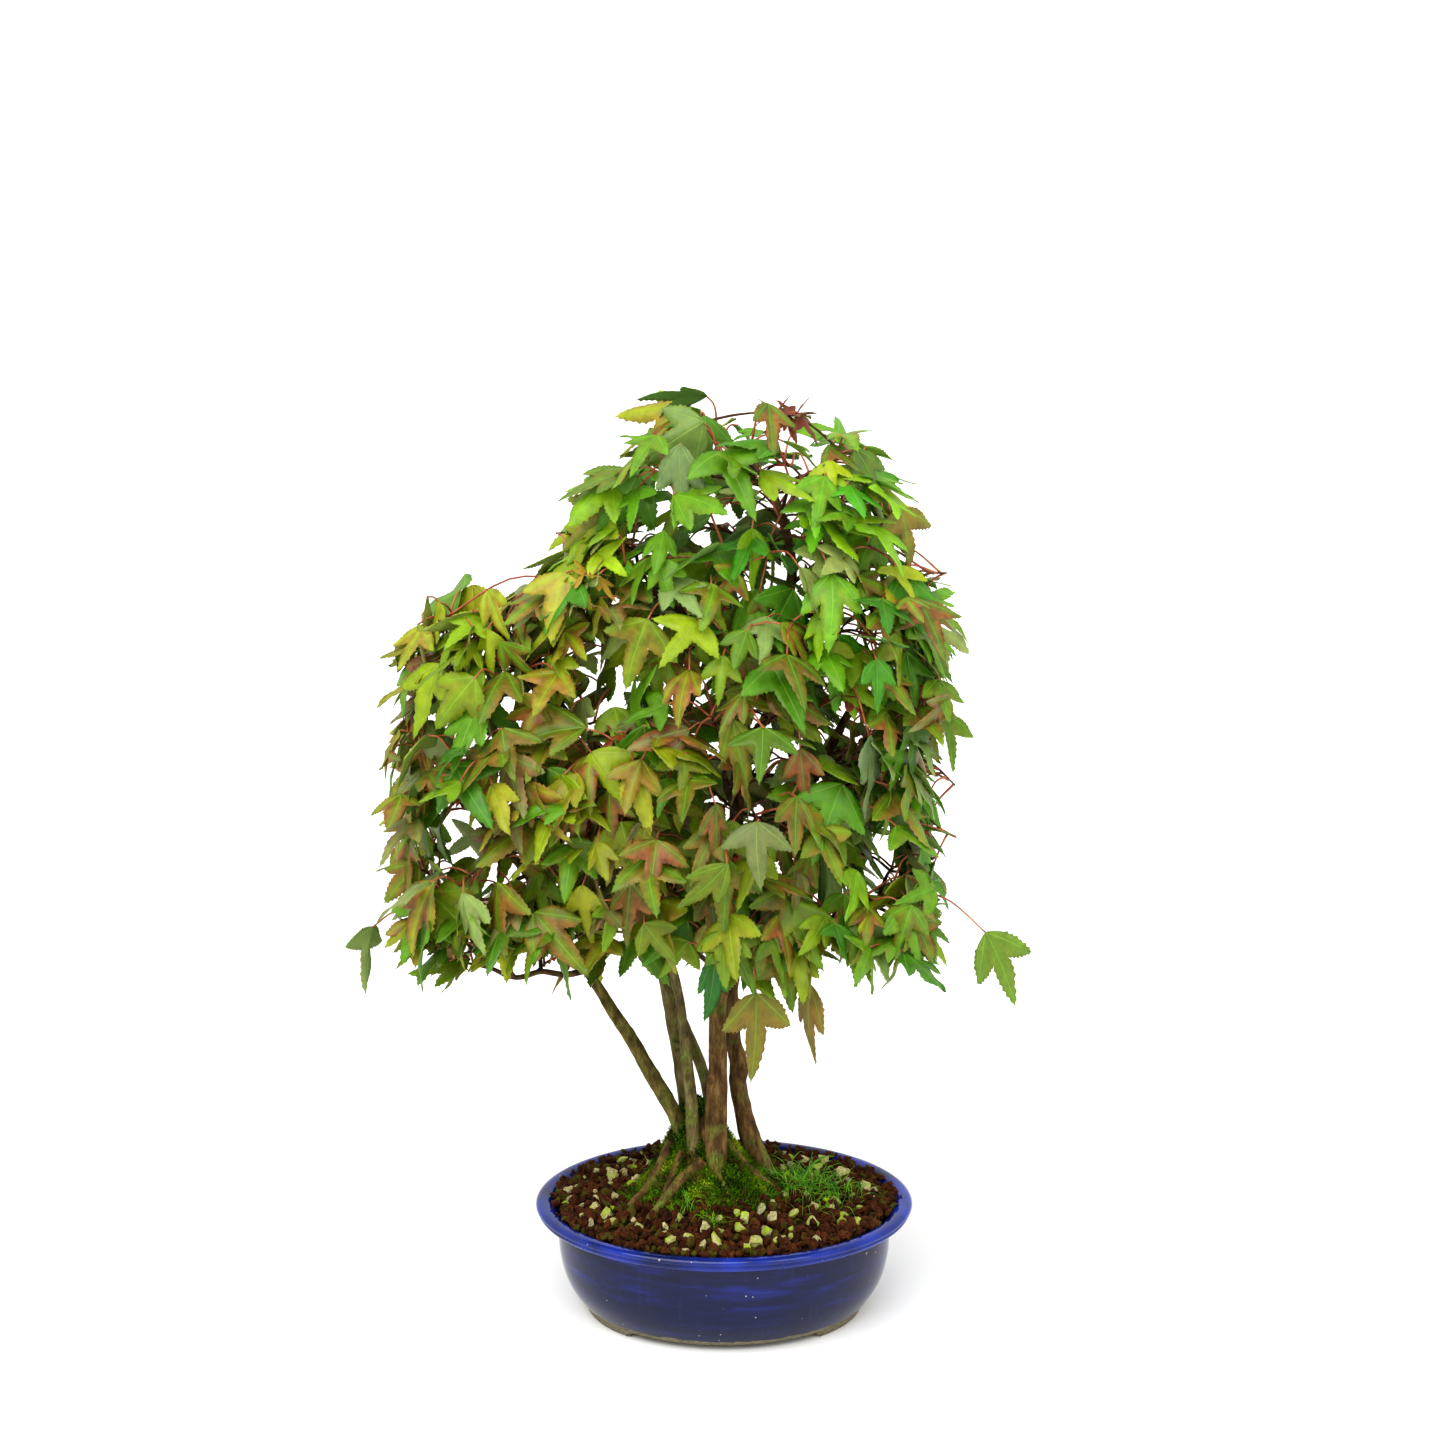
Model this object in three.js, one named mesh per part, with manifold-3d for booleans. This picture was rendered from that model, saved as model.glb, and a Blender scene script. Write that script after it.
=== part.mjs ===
// A trident maple bonsai, grown as a clump of six stems in a glazed oval pot.
// Millimetres, +Z up, the front of the tree towards -Y. The table is the plane z = 0.
import * as THREE from 'three';
import { mergeVertices } from 'three/addons/utils/BufferGeometryUtils.js';
import Module from 'manifold-3d';

// ---------------------------------------------------------------- driving dimensions

const GAP = 0.3; // clearance between pieces that touch

const POT_LENGTH = 238;
const POT_WIDTH = 190;
const POT_HEIGHT = 72;
const POT_OVAL = POT_WIDTH / POT_LENGTH; // the pot is a turned form, narrowed front to back
const POT_SIDES = 40;
const FLOOR_UNDER = 5.5; // underside of the pot's floor
const FLOOR_TOP = 12;
const FOOT_ARCH = { halfWidth: 56, height: 4.5 }; // the wide arches at front and back
const FOOT_NOTCH = { halfWidth: 9, height: 3 }; // the narrow notches at the two ends

const DRAIN_HOLE_X = 55;
const DRAIN_HOLE_RADIUS = 7;
const SCREEN = { side: 20, thickness: 0.9, pitch: 6, opening: 4.4, rows: 3 };
const WIRE_RADIUS = 0.7;

const SOIL_EDGE = 69.6; // height of the soil where it meets the rim
const MOUND = { x: -5, y: -2, height: 24, spreadX: 44, spreadY: 37 }; // soil heaped round the stems
const CROWN = { x: -20, y: 4, height: 36, spread: 20 }; // the joined root base above the mound
const CROWN_RADIUS = 31;
const MOSS = { x: -12, y: -2, radius: 60, oval: 0.86, thickness: 3 };

const LEAF_LENGTH = 44; // blade, base to the tip of the middle lobe
const LEAF_WIDTH = 0.84; // share of the length across the side lobes
const LEAF_THICKNESS = 0.8;
const PETIOLE_LENGTH = 25;
const CANDIDATES = 15; // leaves on a spray
const LEAVES_KEPT = 5; // how many of them are solid here
const CANOPY_AXIS = { x: -20, y: 0 }; // leaves turn their upper face away from this line

const POT_GLAZE = new THREE.MeshStandardMaterial({ color: 0x1c2a78, roughness: 0.18, metalness: 0 });
const SCREEN_PLASTIC = new THREE.MeshStandardMaterial({ color: 0x20231f, roughness: 0.6, metalness: 0 });
const WIRE_METAL = new THREE.MeshStandardMaterial({ color: 0xb0763f, roughness: 0.4, metalness: 0.9 });
const SOIL_GRAIN = new THREE.MeshStandardMaterial({ color: 0x4a3020, roughness: 0.95, metalness: 0 });
const MOSS_GREEN = new THREE.MeshStandardMaterial({ color: 0x4c6a1c, roughness: 1, metalness: 0 });
const GRASS_GREEN = new THREE.MeshStandardMaterial({ color: 0x2f8a2c, roughness: 0.7, metalness: 0 });
const BARK = new THREE.MeshStandardMaterial({ color: 0x6b5238, roughness: 0.9, metalness: 0 });
const LEAF_GREEN = new THREE.MeshStandardMaterial({ color: 0x6c9a2e, roughness: 0.5, metalness: 0 });

// ---------------------------------------------------------------- the plan of the tree

// Each stem and branch is a list of [x, y, z, radius] along its middle, from its foot up.
const STEMS = {
  stem_front: [
    [-5, -19, 84, 8.4], [-5, -18, 103, 7.2], [-5, -16, 141, 6.6], [-4, -14, 168, 5.9], [-4, -12, 200, 5.3],
    [-1, -8, 226, 5.1], [7, -3, 254, 4.9], [11, 0, 272, 4.8], [8, 1, 304, 4.6], [8, 2, 340, 4.3],
    [12, 4, 384, 4.1], [25, 6, 427, 3.8], [40, 8, 467, 3.2], [37, 6, 501, 2.4], [27, 4, 532, 1.7],
  ],
  stem_right: [
    [24, 10, 78, 7.4], [20, 12, 95, 6.2], [13, 13, 121, 4.9], [9, 14, 142, 4.5], [9, 13, 157, 4.9],
    [6, 12, 174, 4.0], [5, 13, 207, 3.9], [10, 16, 242, 3.7], [24, 20, 282, 3.4], [46, 23, 325, 3.0],
    [68, 24, 366, 2.5], [86, 20, 404, 1.8],
  ],
  stem_knotted: [
    [-18, -15, 92, 5.4], [-19, -14, 113, 4.6], [-20.6, -13, 143, 3.9], [-23, -12, 168, 3.6],
    [-25, -12, 187, 3.2], [-27, -12, 206, 2.9], [-30, -13, 222, 2.7], [-36, -18, 250, 2.5],
    [-44, -27, 290, 2.2], [-48, -36, 330, 1.9], [-47, -42, 362, 1.5],
  ],
  stem_left: [
    [-23, 6, 104, 4.6], [-25, 7, 136, 4.0], [-27, 8, 152, 4.1], [-29, 10, 169, 4.2], [-32, 12, 185, 4.3],
    [-35, 14, 204, 4.3], [-42, 18, 240, 4.0], [-54, 21, 290, 3.6], [-68, 21, 340, 3.3],
    [-84, 19, 369, 3.0], [-106, 16, 390, 2.6], [-134, 10, 424, 1.8],
  ],
  stem_rear: [
    [-7, 21, 98, 4.9], [-9, 23, 126, 4.0], [-13, 26, 145, 3.7], [-20, 30, 163, 3.5], [-27, 34, 180, 3.3],
    [-37, 40, 210, 3.1], [-44, 46, 248, 2.8], [-46, 52, 292, 2.5], [-36, 57, 340, 2.2],
    [-18, 58, 388, 1.9], [-4, 56, 430, 1.5],
  ],
  stem_leaning: [
    [-24, -4, 110, 5.6], [-31, -3, 130, 5.0], [-45, -2, 155, 4.6], [-57, -2, 178, 4.3], [-70, -2, 199, 3.8],
    [-79, -2, 215, 3.4], [-85, -2, 225, 3.3], [-97, -4, 243, 3.1], [-110, -4, 264, 2.9],
    [-121, -2, 287, 2.6], [-138, 0, 308, 2.2], [-156, 0, 330, 1.6],
  ],
};

const BRANCHES = {
  branch_low_left: [[-85, -2, 225, 2.2], [-98, -5, 223, 2.0], [-113, -8, 226, 1.8], [-129, -10, 223, 1.6], [-146, -12, 231, 1.3]],
  branch_low_front: [[-1, -8, 226, 1.7], [-9, -20, 236, 1.6], [-18, -38, 250, 1.5], [-22, -56, 258, 1.2]],
  branch_low_right: [[9, -1, 266, 2.4], [28, -8, 270, 2.2], [55, -14, 271, 2.0], [84, -18, 275, 1.7], [104, -20, 282, 1.3]],
  branch_mid_right: [[9, 3, 349, 2.6], [34, -4, 350, 2.3], [64, -8, 354, 2.0], [92, -8, 364, 1.7], [108, -8, 372, 1.3]],
  branch_mid_front: [[8, 2, 325, 2.4], [5, -20, 338, 2.1], [1, -42, 356, 1.8], [0, -62, 378, 1.3]],
  branch_upper_left: [[20, 5, 412, 2.6], [0, 0, 432, 2.3], [-24, -5, 452, 2.0], [-50, -8, 472, 1.6], [-66, -8, 484, 1.3]],
  branch_upper_right: [[30, 7, 440, 2.3], [52, 4, 450, 2.0], [78, 0, 462, 1.7], [96, -2, 472, 1.3]],
  branch_left_front: [[-70, 21, 345, 2.3], [-86, 0, 360, 2.0], [-104, -22, 366, 1.7], [-122, -38, 370, 1.3]],
  branch_left_rear: [[-106, 16, 390, 2.0], [-124, 34, 392, 1.7], [-144, 46, 388, 1.3]],
  branch_rear_right: [[40, 22, 313, 2.2], [54, 42, 330, 1.9], [64, 60, 350, 1.4]],
};

// A spray is a twig with leaves: where it leaves the wood, and where its leafy end is.
const SPRAYS = [
  // the top of the tree
  { from: [27, 4, 530], to: [-6, -30, 556] },
  { from: [29, 5, 524], to: [62, -26, 540] },
  { from: [34, 6, 510], to: [58, 42, 528] },
  { from: [27, 4, 531], to: [-18, 24, 560] },
  { from: [37, 6, 501], to: [24, -56, 498] },
  { from: [39, 7, 480], to: [-12, 58, 492] },
  { from: [-40, -7, 464], to: [-58, -50, 492] },
  { from: [-60, -8, 480], to: [-88, 22, 494] },
  // the right side
  { from: [96, -2, 472], to: [116, -34, 470] },
  { from: [90, -1, 468], to: [112, 30, 462] },
  { from: [66, 1, 456], to: [62, -64, 440] },
  { from: [86, 20, 402], to: [112, 42, 414] },
  { from: [104, -8, 370], to: [122, -46, 386] },
  { from: [100, -8, 368], to: [126, 30, 346] },
  { from: [104, -20, 282], to: [128, -26, 306] },
  { from: [76, -17, 274], to: [88, -66, 292] },
  { from: [94, -19, 278], to: [108, 32, 282] },
  // the middle, front and rear
  { from: [0, -62, 378], to: [-8, -88, 412] },
  { from: [1, -46, 360], to: [22, -96, 346] },
  { from: [-47, -42, 360], to: [-58, -74, 388] },
  { from: [-47, -36, 332], to: [-62, -84, 328] },
  { from: [-16, -34, 247], to: [16, -78, 268] },
  { from: [64, 60, 350], to: [60, 84, 322] },
  { from: [-4, 56, 430], to: [6, 82, 440] },
  { from: [-46, 50, 276], to: [-22, 88, 284] },
  // the left side
  { from: [-134, 10, 424], to: [-160, -10, 432] },
  { from: [-118, 13, 404], to: [-118, -46, 428] },
  { from: [-144, 46, 388], to: [-168, 42, 398] },
  { from: [-122, -38, 370], to: [-158, -52, 372] },
  { from: [-156, 0, 330], to: [-190, -16, 342] },
  { from: [-138, 0, 308], to: [-134, -58, 304] },
  { from: [-128, -1, 296], to: [-146, 54, 310] },
  { from: [-146, -12, 231], to: [-184, -20, 270] },
  { from: [-98, -4, 244], to: [-90, -64, 262] },
];

// Single leaves that stand clear of the rest: the number of the spray that bears them, and the blade's
// foot, tip and length.
const STRAY_LEAVES = [
  { spray: 15, base: [158, -36, 262], tip: [180, -44, 224], length: 48 },
  { spray: 33, base: [-214, -26, 262], tip: [-222, -30, 222], length: 42 },
  { spray: 22, base: [22, -78, 212], tip: [21, -86, 164], length: 50 },
  { spray: 22, base: [52, -74, 214], tip: [60, -78, 172], length: 46 },
  { spray: 1, base: [-12, -36, 574], tip: [-48, -46, 556], length: 42 },
  { spray: 2, base: [88, -34, 566], tip: [112, -40, 540], length: 38 },
];

// ---------------------------------------------------------------- solids

const wasm = await Module();
wasm.setup();

function solidOf(geometry) {
  const bare = geometry.index ? geometry.toNonIndexed() : geometry.clone();
  bare.deleteAttribute('normal');
  bare.deleteAttribute('uv');
  const merged = mergeVertices(bare, 1e-3);
  return new wasm.Manifold(new wasm.Mesh({
    numProp: 3,
    vertProperties: merged.attributes.position.array,
    triVerts: new Uint32Array(merged.index.array),
  }));
}

function geometryOf(solid) {
  const mesh = solid.getMesh();
  return new THREE.BufferGeometry()
    .setAttribute('position', new THREE.BufferAttribute(mesh.vertProperties, 3))
    .setIndex(new THREE.BufferAttribute(mesh.triVerts, 1));
}

// The biggest piece of a solid, for when a cut leaves crumbs behind. It forgets the solids it was made
// from, which would otherwise pile up cut by cut, and loses the triangles its shape can do without.
function largestPiece(solid) {
  const biggest = solid.decompose().reduce((best, piece) => (piece.volume() > best.volume() ? piece : best));
  const bare = biggest.asOriginal();
  return [GAP / 6, GAP / 30].map((tolerance) => bare.simplify(tolerance)).find(isOneBody) ?? bare;
}

// Whether a solid is still one closed body once its nearly equal points are merged.
function isOneBody(solid) {
  try {
    return solidOf(geometryOf(solid)).decompose().length === 1;
  } catch {
    return false;
  }
}

function near(a, b, margin = 1) {
  const boxA = a.boundingBox();
  const boxB = b.boundingBox();
  return [0, 1, 2].every((i) => boxA.min[i] - margin < boxB.max[i] && boxB.min[i] - margin < boxA.max[i]);
}

function cutBy(solid, others) {
  let left = solid;
  for (const other of others) {
    if (near(left, other)) left = left.subtract(other);
  }
  return largestPiece(left);
}

const vector = ([x, y, z]) => new THREE.Vector3(x, y, z);

// A repeatable number from 0 to 1 for a place in the plan.
function chance(spray, leaf, what) {
  const n = Math.sin(spray * 127.1 + leaf * 311.7 + what * 74.7 + 19.19) * 43758.5453;
  return n - Math.floor(n);
}

// ---------------------------------------------------------------- limbs

// A round limb through [x, y, z, radius] points: a cylinder whose rings are carried onto the curve. Its
// sides and its two ends stand out by `grow`.
function limbGeometry(points, sides, stepsPerSpan, grow = 0) {
  const curve = new THREE.CatmullRomCurve3(points.map(vector), false, 'catmullrom', 0.5);
  const spans = points.length - 1;
  const steps = spans * stepsPerSpan;
  const geometry = new THREE.CylinderGeometry(1, 1, 1, sides, steps);
  const rings = [];
  let normal = null;
  for (let i = 0; i <= steps; i++) {
    const tangent = curve.getTangent(i / steps);
    normal ??= new THREE.Vector3(1, 0, 0).lerp(new THREE.Vector3(0, 1, 0), Math.abs(tangent.x));
    normal = normal.clone().addScaledVector(tangent, -normal.dot(tangent)).normalize();
    const span = Math.min(Math.floor(i / stepsPerSpan), spans - 1);
    const radius = THREE.MathUtils.lerp(points[span][3], points[span + 1][3], i / stepsPerSpan - span);
    const side = normal.clone().cross(tangent);
    const centre = curve.getPoint(i / steps);
    if (i === 0) centre.addScaledVector(tangent, -grow);
    if (i === steps) centre.addScaledVector(tangent, grow);
    rings.push({ centre, normal, side, radius: radius + grow });
  }
  const position = geometry.attributes.position;
  for (let i = 0; i < position.count; i++) {
    const ring = rings[Math.round((position.getY(i) + 0.5) * steps)];
    const place = ring.centre.clone()
      .addScaledVector(ring.normal, position.getX(i) * ring.radius)
      .addScaledVector(ring.side, position.getZ(i) * ring.radius);
    position.setXYZ(i, place.x, place.y, place.z);
  }
  return geometry;
}

const limb = (points, sides, stepsPerSpan, grow) => solidOf(limbGeometry(points, sides, stepsPerSpan, grow));

// ---------------------------------------------------------------- pot, screens and wires

function turned(profile) {
  const points = profile.map(([radius, z]) => new THREE.Vector2(radius, z));
  return new THREE.LatheGeometry(points, POT_SIDES).rotateX(Math.PI / 2).scale(1, POT_OVAL, 1);
}

function potSolid() {
  const rim = POT_LENGTH / 2;
  const body = solidOf(turned([
    [0, FLOOR_UNDER], [76, FLOOR_UNDER], [77, 0], [88, 0], [90, 5],
    [98, 16], [103, 28], [105, 44], [104, 61], // the belly
    [rim - 4, 62.5], [rim - 1, 64.5], [rim, 68], [rim - 3, POT_HEIGHT], // the lip
    [108.5, POT_HEIGHT - 1.5], [100, 59], [98.5, 44], [96, 28], [80, FLOOR_TOP], [0, FLOOR_TOP],
  ]));
  const cutters = [
    arch(FOOT_ARCH.halfWidth * 2, POT_WIDTH * 2, FOOT_ARCH.height),
    arch(POT_LENGTH * 2, FOOT_NOTCH.halfWidth * 2, FOOT_NOTCH.height),
    drainHole(-DRAIN_HOLE_X),
    drainHole(DRAIN_HOLE_X),
  ];
  return cutters.reduce((pot, cutter) => pot.subtract(cutter), body);
}

function arch(width, depth, height) {
  return solidOf(new THREE.BoxGeometry(width, depth, 2 * height));
}

function drainHole(x) {
  const cylinder = new THREE.CylinderGeometry(DRAIN_HOLE_RADIUS, DRAIN_HOLE_RADIUS, 4 * FLOOR_TOP, 16);
  return solidOf(cylinder.rotateX(Math.PI / 2).translate(x, 0, 0));
}

function screenSolid(x) {
  const z = FLOOR_TOP + GAP + SCREEN.thickness / 2;
  const plate = solidOf(new THREE.BoxGeometry(SCREEN.side, SCREEN.side, SCREEN.thickness).translate(x, 0, z));
  const opening = solidOf(new THREE.BoxGeometry(SCREEN.opening, SCREEN.opening, 4).translate(x, 0, z));
  const places = Array.from({ length: SCREEN.rows }, (_, i) => (i - (SCREEN.rows - 1) / 2) * SCREEN.pitch);
  const openings = places.flatMap((dx) => places.map((dy) => opening.translate([dx, dy, 0])));
  return openings.reduce((screen, cutter) => screen.subtract(cutter), plate);
}

// A staple that holds the screen down: over it, down through two of its openings, and out under the floor.
function wirePoints(x) {
  const over = FLOOR_TOP + 2 * GAP + SCREEN.thickness + WIRE_RADIUS;
  const under = FLOOR_UNDER - GAP - WIRE_RADIUS;
  const leg = 5.5;
  const half = [[14, under], [8.4, under - 1], [6.3, under - 0.6], [leg, under + 2.4], [leg, over - 1.2], [leg - 1.2, over]];
  const right = half.map(([dx, z]) => [x + dx, 0, z, WIRE_RADIUS]);
  const left = half.map(([dx, z]) => [x - dx, 0, z, WIRE_RADIUS]);
  return [...right, ...left.reverse()];
}

// ---------------------------------------------------------------- soil, root base, moss and grass

const bell = (x, y, at, spreadX, spreadY) => Math.exp(-(((x - at.x) / spreadX) ** 2) - ((y - at.y) / spreadY) ** 2);

function soilHeight(x, y) {
  const share = Math.min(1, Math.hypot(x, y / POT_OVAL) / (POT_LENGTH / 2 - 13));
  const edge = 1 - share ** 4; // no heap at the rim
  return SOIL_EDGE + edge * (2 + MOUND.height * bell(x, y, MOUND, MOUND.spreadX, MOUND.spreadY));
}

function crownHeight(x, y) {
  return soilHeight(x, y) + CROWN.height * bell(x, y, CROWN, CROWN.spread, CROWN.spread) - 3;
}

// A round or oval bed whose top follows a height: the lathe's top rings are lifted to it.
function bed(profile, at, oval, topRings, sides, height) {
  const points = [...profile, ...topRings.map((radius) => [radius, 500])].map(([r, z]) => new THREE.Vector2(r, z));
  const geometry = new THREE.LatheGeometry(points, sides).rotateX(Math.PI / 2).scale(1, oval, 1).translate(at.x, at.y, 0);
  const position = geometry.attributes.position;
  for (let i = 0; i < position.count; i++) {
    if (position.getZ(i) > 499) position.setZ(i, height(position.getX(i), position.getY(i)));
  }
  return solidOf(geometry);
}

function soilSolid(grow = 0) {
  const profile = [
    [0, FLOOR_TOP + GAP], [79.7, FLOOR_TOP + GAP], [95.4, 28.2], [98, 44.1], [99.4, 59.2], [105.8, SOIL_EDGE],
  ];
  const rings = [102, 84, 66, 48, 32, 16, 0];
  return bed(profile, { x: 0, y: 0 }, POT_OVAL, rings, POT_SIDES, (x, y) => soilHeight(x, y) + grow);
}

function crownSolid(grow = 0) {
  const radius = CROWN_RADIUS + grow;
  const profile = [[0, 66 - grow], [radius - 4, 66 - grow], [radius, 70]];
  return bed(profile, CROWN, 1, [radius, 23, 15, 8, 0], 14, (x, y) => crownHeight(x, y) + grow);
}

// Roots run out from the crown along the top of the soil and dive into it.
const SURFACE_ROOTS = [
  { angle: 205, reach: 66, radius: 3.8 },
  { angle: 232, reach: 58, radius: 3.4 },
  { angle: 282, reach: 54, radius: 3.0 },
  { angle: 330, reach: 62, radius: 3.4 },
  { angle: 20, reach: 60, radius: 3.4 },
];

function rootPoints({ angle, reach, radius }) {
  const turn = THREE.MathUtils.degToRad(angle);
  return [0.25, 0.5, 0.75, 1].map((share, i) => {
    const x = CROWN.x + Math.cos(turn + 0.12 * i) * reach * share;
    const y = CROWN.y + Math.sin(turn + 0.12 * i) * reach * share * 0.85;
    const lift = [-4, 0.6, 0.4, -2.5][i];
    return [x, y, Math.max(soilHeight(x, y), crownHeight(x, y)) + lift, radius * (1.15 - 0.7 * share)];
  });
}

function rootBase(grow = 0) {
  const roots = SURFACE_ROOTS.map((root) => limb(rootPoints(root), 6, 1, grow));
  return wasm.Manifold.union([crownSolid(grow), ...roots]);
}

function mossSolid() {
  const height = (x, y) => {
    const share = Math.hypot(x - MOSS.x, (y - MOSS.y) / MOSS.oval) / MOSS.radius;
    const ragged = 0.5 * Math.sin(x * 0.35) * Math.cos(y * 0.31);
    return Math.max(soilHeight(x, y), crownHeight(x, y)) + MOSS.thickness + ragged - 4.5 * share ** 3;
  };
  const profile = [[0, 64], [MOSS.radius, 64]];
  return bed(profile, MOSS, MOSS.oval, [60, 50, 39, 28, 18, 9, 0], 20, height);
}

const GRASS = { x: 52, y: 4, blades: 10, reach: 22, height: 15 };

function grassSolid() {
  const foot = soilHeight(GRASS.x, GRASS.y) + GAP;
  const base = solidOf(new THREE.CylinderGeometry(2.4, 2.4, 3, 8).rotateX(Math.PI / 2).translate(GRASS.x, GRASS.y, foot + 3));
  const blades = Array.from({ length: GRASS.blades }, (_, i) => {
    const turn = i * 2.39996;
    const reach = GRASS.reach * (0.5 + 0.5 * chance(90, i, 1));
    const rise = GRASS.height * (0.6 + 0.6 * chance(90, i, 2));
    const at = (share, up) => [GRASS.x + Math.cos(turn) * reach * share, GRASS.y + Math.sin(turn) * reach * share, foot + 3 + up];
    return limb([[...at(0, 0), 0.8], [...at(0.4, rise), 0.7], [...at(1, rise * 0.8), 0.4]], 3, 1);
  });
  return largestPiece(wasm.Manifold.union([base, ...blades]));
}

// ---------------------------------------------------------------- leaves

// Half of a leaf's outline as [across, along], in shares of the blade's length. The first point is the
// far end of its stalk.
const HALF_OUTLINE = [[0.04, 0], [0.5, 0.42], [0.2, 0.48], [0, 1]];

function leafShape(length) {
  const right = HALF_OUTLINE.map(([across, along]) => [across * LEAF_WIDTH * length, along * length]);
  const left = right.slice(0, -1).reverse().map(([across, along]) => [-across, along]);
  const points = [[0, -PETIOLE_LENGTH], ...right, ...left];
  return new THREE.Shape(points.map(([x, y]) => new THREE.Vector2(x, y)));
}

// A leaf hangs from its stalk: foot is where the stalk leaves the twig, base where the blade begins.
function leafSolid({ foot, base, along, face, length }) {
  const across = along.clone().cross(face);
  const shape = leafShape(length);
  const geometry = new THREE.ExtrudeGeometry(shape, { depth: LEAF_THICKNESS, bevelEnabled: false });
  const position = geometry.attributes.position;
  for (let i = 0; i < position.count; i++) {
    const x = position.getX(i);
    const y = position.getY(i);
    const z = position.getZ(i) - LEAF_THICKNESS / 2;
    const droop = y > 0 ? -0.14 * length * (y / length) ** 2 : 0;
    const place = (y < 0 ? foot : base).clone()
      .addScaledVector(across, x)
      .addScaledVector(along, Math.max(y, 0))
      .addScaledVector(face, z + droop);
    position.setXYZ(i, place.x, place.y, place.z);
  }
  return solidOf(geometry);
}

// The three shoots of a spray: the twig itself and one to each side of its leafy end.
function shootsOf({ from, to }) {
  const start = vector(from);
  const end = vector(to);
  const middle = start.clone().lerp(end, 0.5).add(new THREE.Vector3(0, 0, 5));
  const heading = end.clone().sub(start).normalize();
  const sideways = new THREE.Vector3(0, 0, 1).cross(heading).normalize();
  const fork = middle.clone().lerp(end, 0.3);
  const shoots = [[start, middle, end]];
  for (const turn of [-1, 1]) {
    const tip = end.clone().addScaledVector(sideways, turn * 24).addScaledVector(heading, -8);
    tip.z += turn * 9;
    const bend = fork.clone().lerp(tip, 0.5).add(new THREE.Vector3(0, 0, 3));
    shoots.push([fork, bend, tip]);
  }
  return shoots;
}

// The turn of a leaf: its blade hangs tip down, with its upper face away from the middle of the tree.
function hang(base, reach, spray, leaf) {
  const outward = new THREE.Vector3(base.x - CANOPY_AXIS.x, base.y - CANOPY_AXIS.y, 0).normalize();
  const lift = THREE.MathUtils.clamp((base.z - 440) / 120, 0, 1);
  const jitter = new THREE.Vector3(...[3, 4, 5].map((what) => chance(spray, leaf, what) - 0.5));
  const face = outward.multiplyScalar(1 - 0.5 * lift)
    .add(new THREE.Vector3(0, 0, 0.45 + 0.6 * lift))
    .addScaledVector(jitter, 0.9)
    .normalize();
  const pull = new THREE.Vector3(0, 0, -0.95 + 0.3 * lift).addScaledVector(reach, 0.75).addScaledVector(jitter, 0.5);
  const along = pull.addScaledVector(face, -pull.dot(face)).normalize();
  return { along, face };
}

// Leaf number `leaf` of a spray. The leaves sit round the ends of its three shoots.
function leafPlan(sprayIndex, leaf, shoots) {
  const [start, bend, tip] = shoots[leaf % 3];
  const row = Math.floor(leaf / 3);
  const foot = bend.clone().lerp(tip, 0.96 - 0.19 * row - 0.03 * (leaf % 3));
  const heading = tip.clone().sub(start).normalize();
  const turn = row * 2.39996 + 6.283 * chance(sprayIndex, leaf % 3, 1);
  const sideways = new THREE.Vector3(0, 0, 1).cross(heading).normalize();
  const upright = heading.clone().cross(sideways);
  const reach = heading.clone().multiplyScalar(0.75)
    .addScaledVector(sideways, Math.cos(turn))
    .addScaledVector(upright, 0.75 * Math.sin(turn))
    .normalize();
  const stalk = PETIOLE_LENGTH * (0.65 + 0.7 * chance(sprayIndex, leaf, 2));
  const base = foot.clone().addScaledVector(reach, stalk);
  const length = LEAF_LENGTH * (0.72 + 0.42 * chance(sprayIndex, leaf, 6));
  return { foot, base, length, ...hang(base, reach, sprayIndex, leaf) };
}

function strayPlan({ spray, base, tip, length }, shoots) {
  const blade = vector(base);
  const along = vector(tip).sub(blade).normalize();
  const outward = new THREE.Vector3(blade.x - CANOPY_AXIS.x, blade.y - 60, 30).normalize();
  const face = outward.addScaledVector(along, -outward.dot(along)).normalize();
  const ends = shoots.map(([, bend, tip]) => bend.clone().lerp(tip, 0.87));
  const foot = ends.reduce((best, end) => (end.distanceTo(blade) < best.distanceTo(blade) ? end : best));
  return { foot, base: blade, length, along, face, spray };
}

function twigSolid([start, bend, tip], startRadius) {
  const points = [start, bend, tip].map((p, i) => [p.x, p.y, p.z, startRadius - 0.35 * i]);
  return limb(points, 4, 1);
}

// A spray as one solid: its shoots, and the leaves that stand clear of everything in `others`.
function spraySolid(spray, index, others) {
  const shoots = shootsOf(spray);
  const twigs = shoots.map((shoot, i) => twigSolid(shoot, i === 0 ? 1.7 : 1.3));
  const leaves = [];
  const strays = STRAY_LEAVES.filter((stray) => stray.spray === index + 1).map((stray) => strayPlan(stray, shoots));
  const plans = Array.from({ length: CANDIDATES }, (_, leaf) => leafPlan(index, leaf, shoots));
  for (const plan of [...strays, ...plans]) {
    if (leaves.length === LEAVES_KEPT + strays.length) break;
    const leaf = leafSolid(plan);
    const clear = [...others, ...leaves].every((other) => !near(leaf, other) || leaf.intersect(other).isEmpty());
    if (clear) leaves.push(leaf);
  }
  return largestPiece(wasm.Manifold.union([...twigs, ...leaves]));
}

// ---------------------------------------------------------------- assembly

const tree = new THREE.Group();

function add(name, geometry, material) {
  const mesh = new THREE.Mesh(geometry, material);
  mesh.name = name;
  tree.add(mesh);
  return mesh;
}

const number = (i) => String(i).padStart(2, '0');

add('oval_pot', geometryOf(potSolid()), POT_GLAZE);

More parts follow.
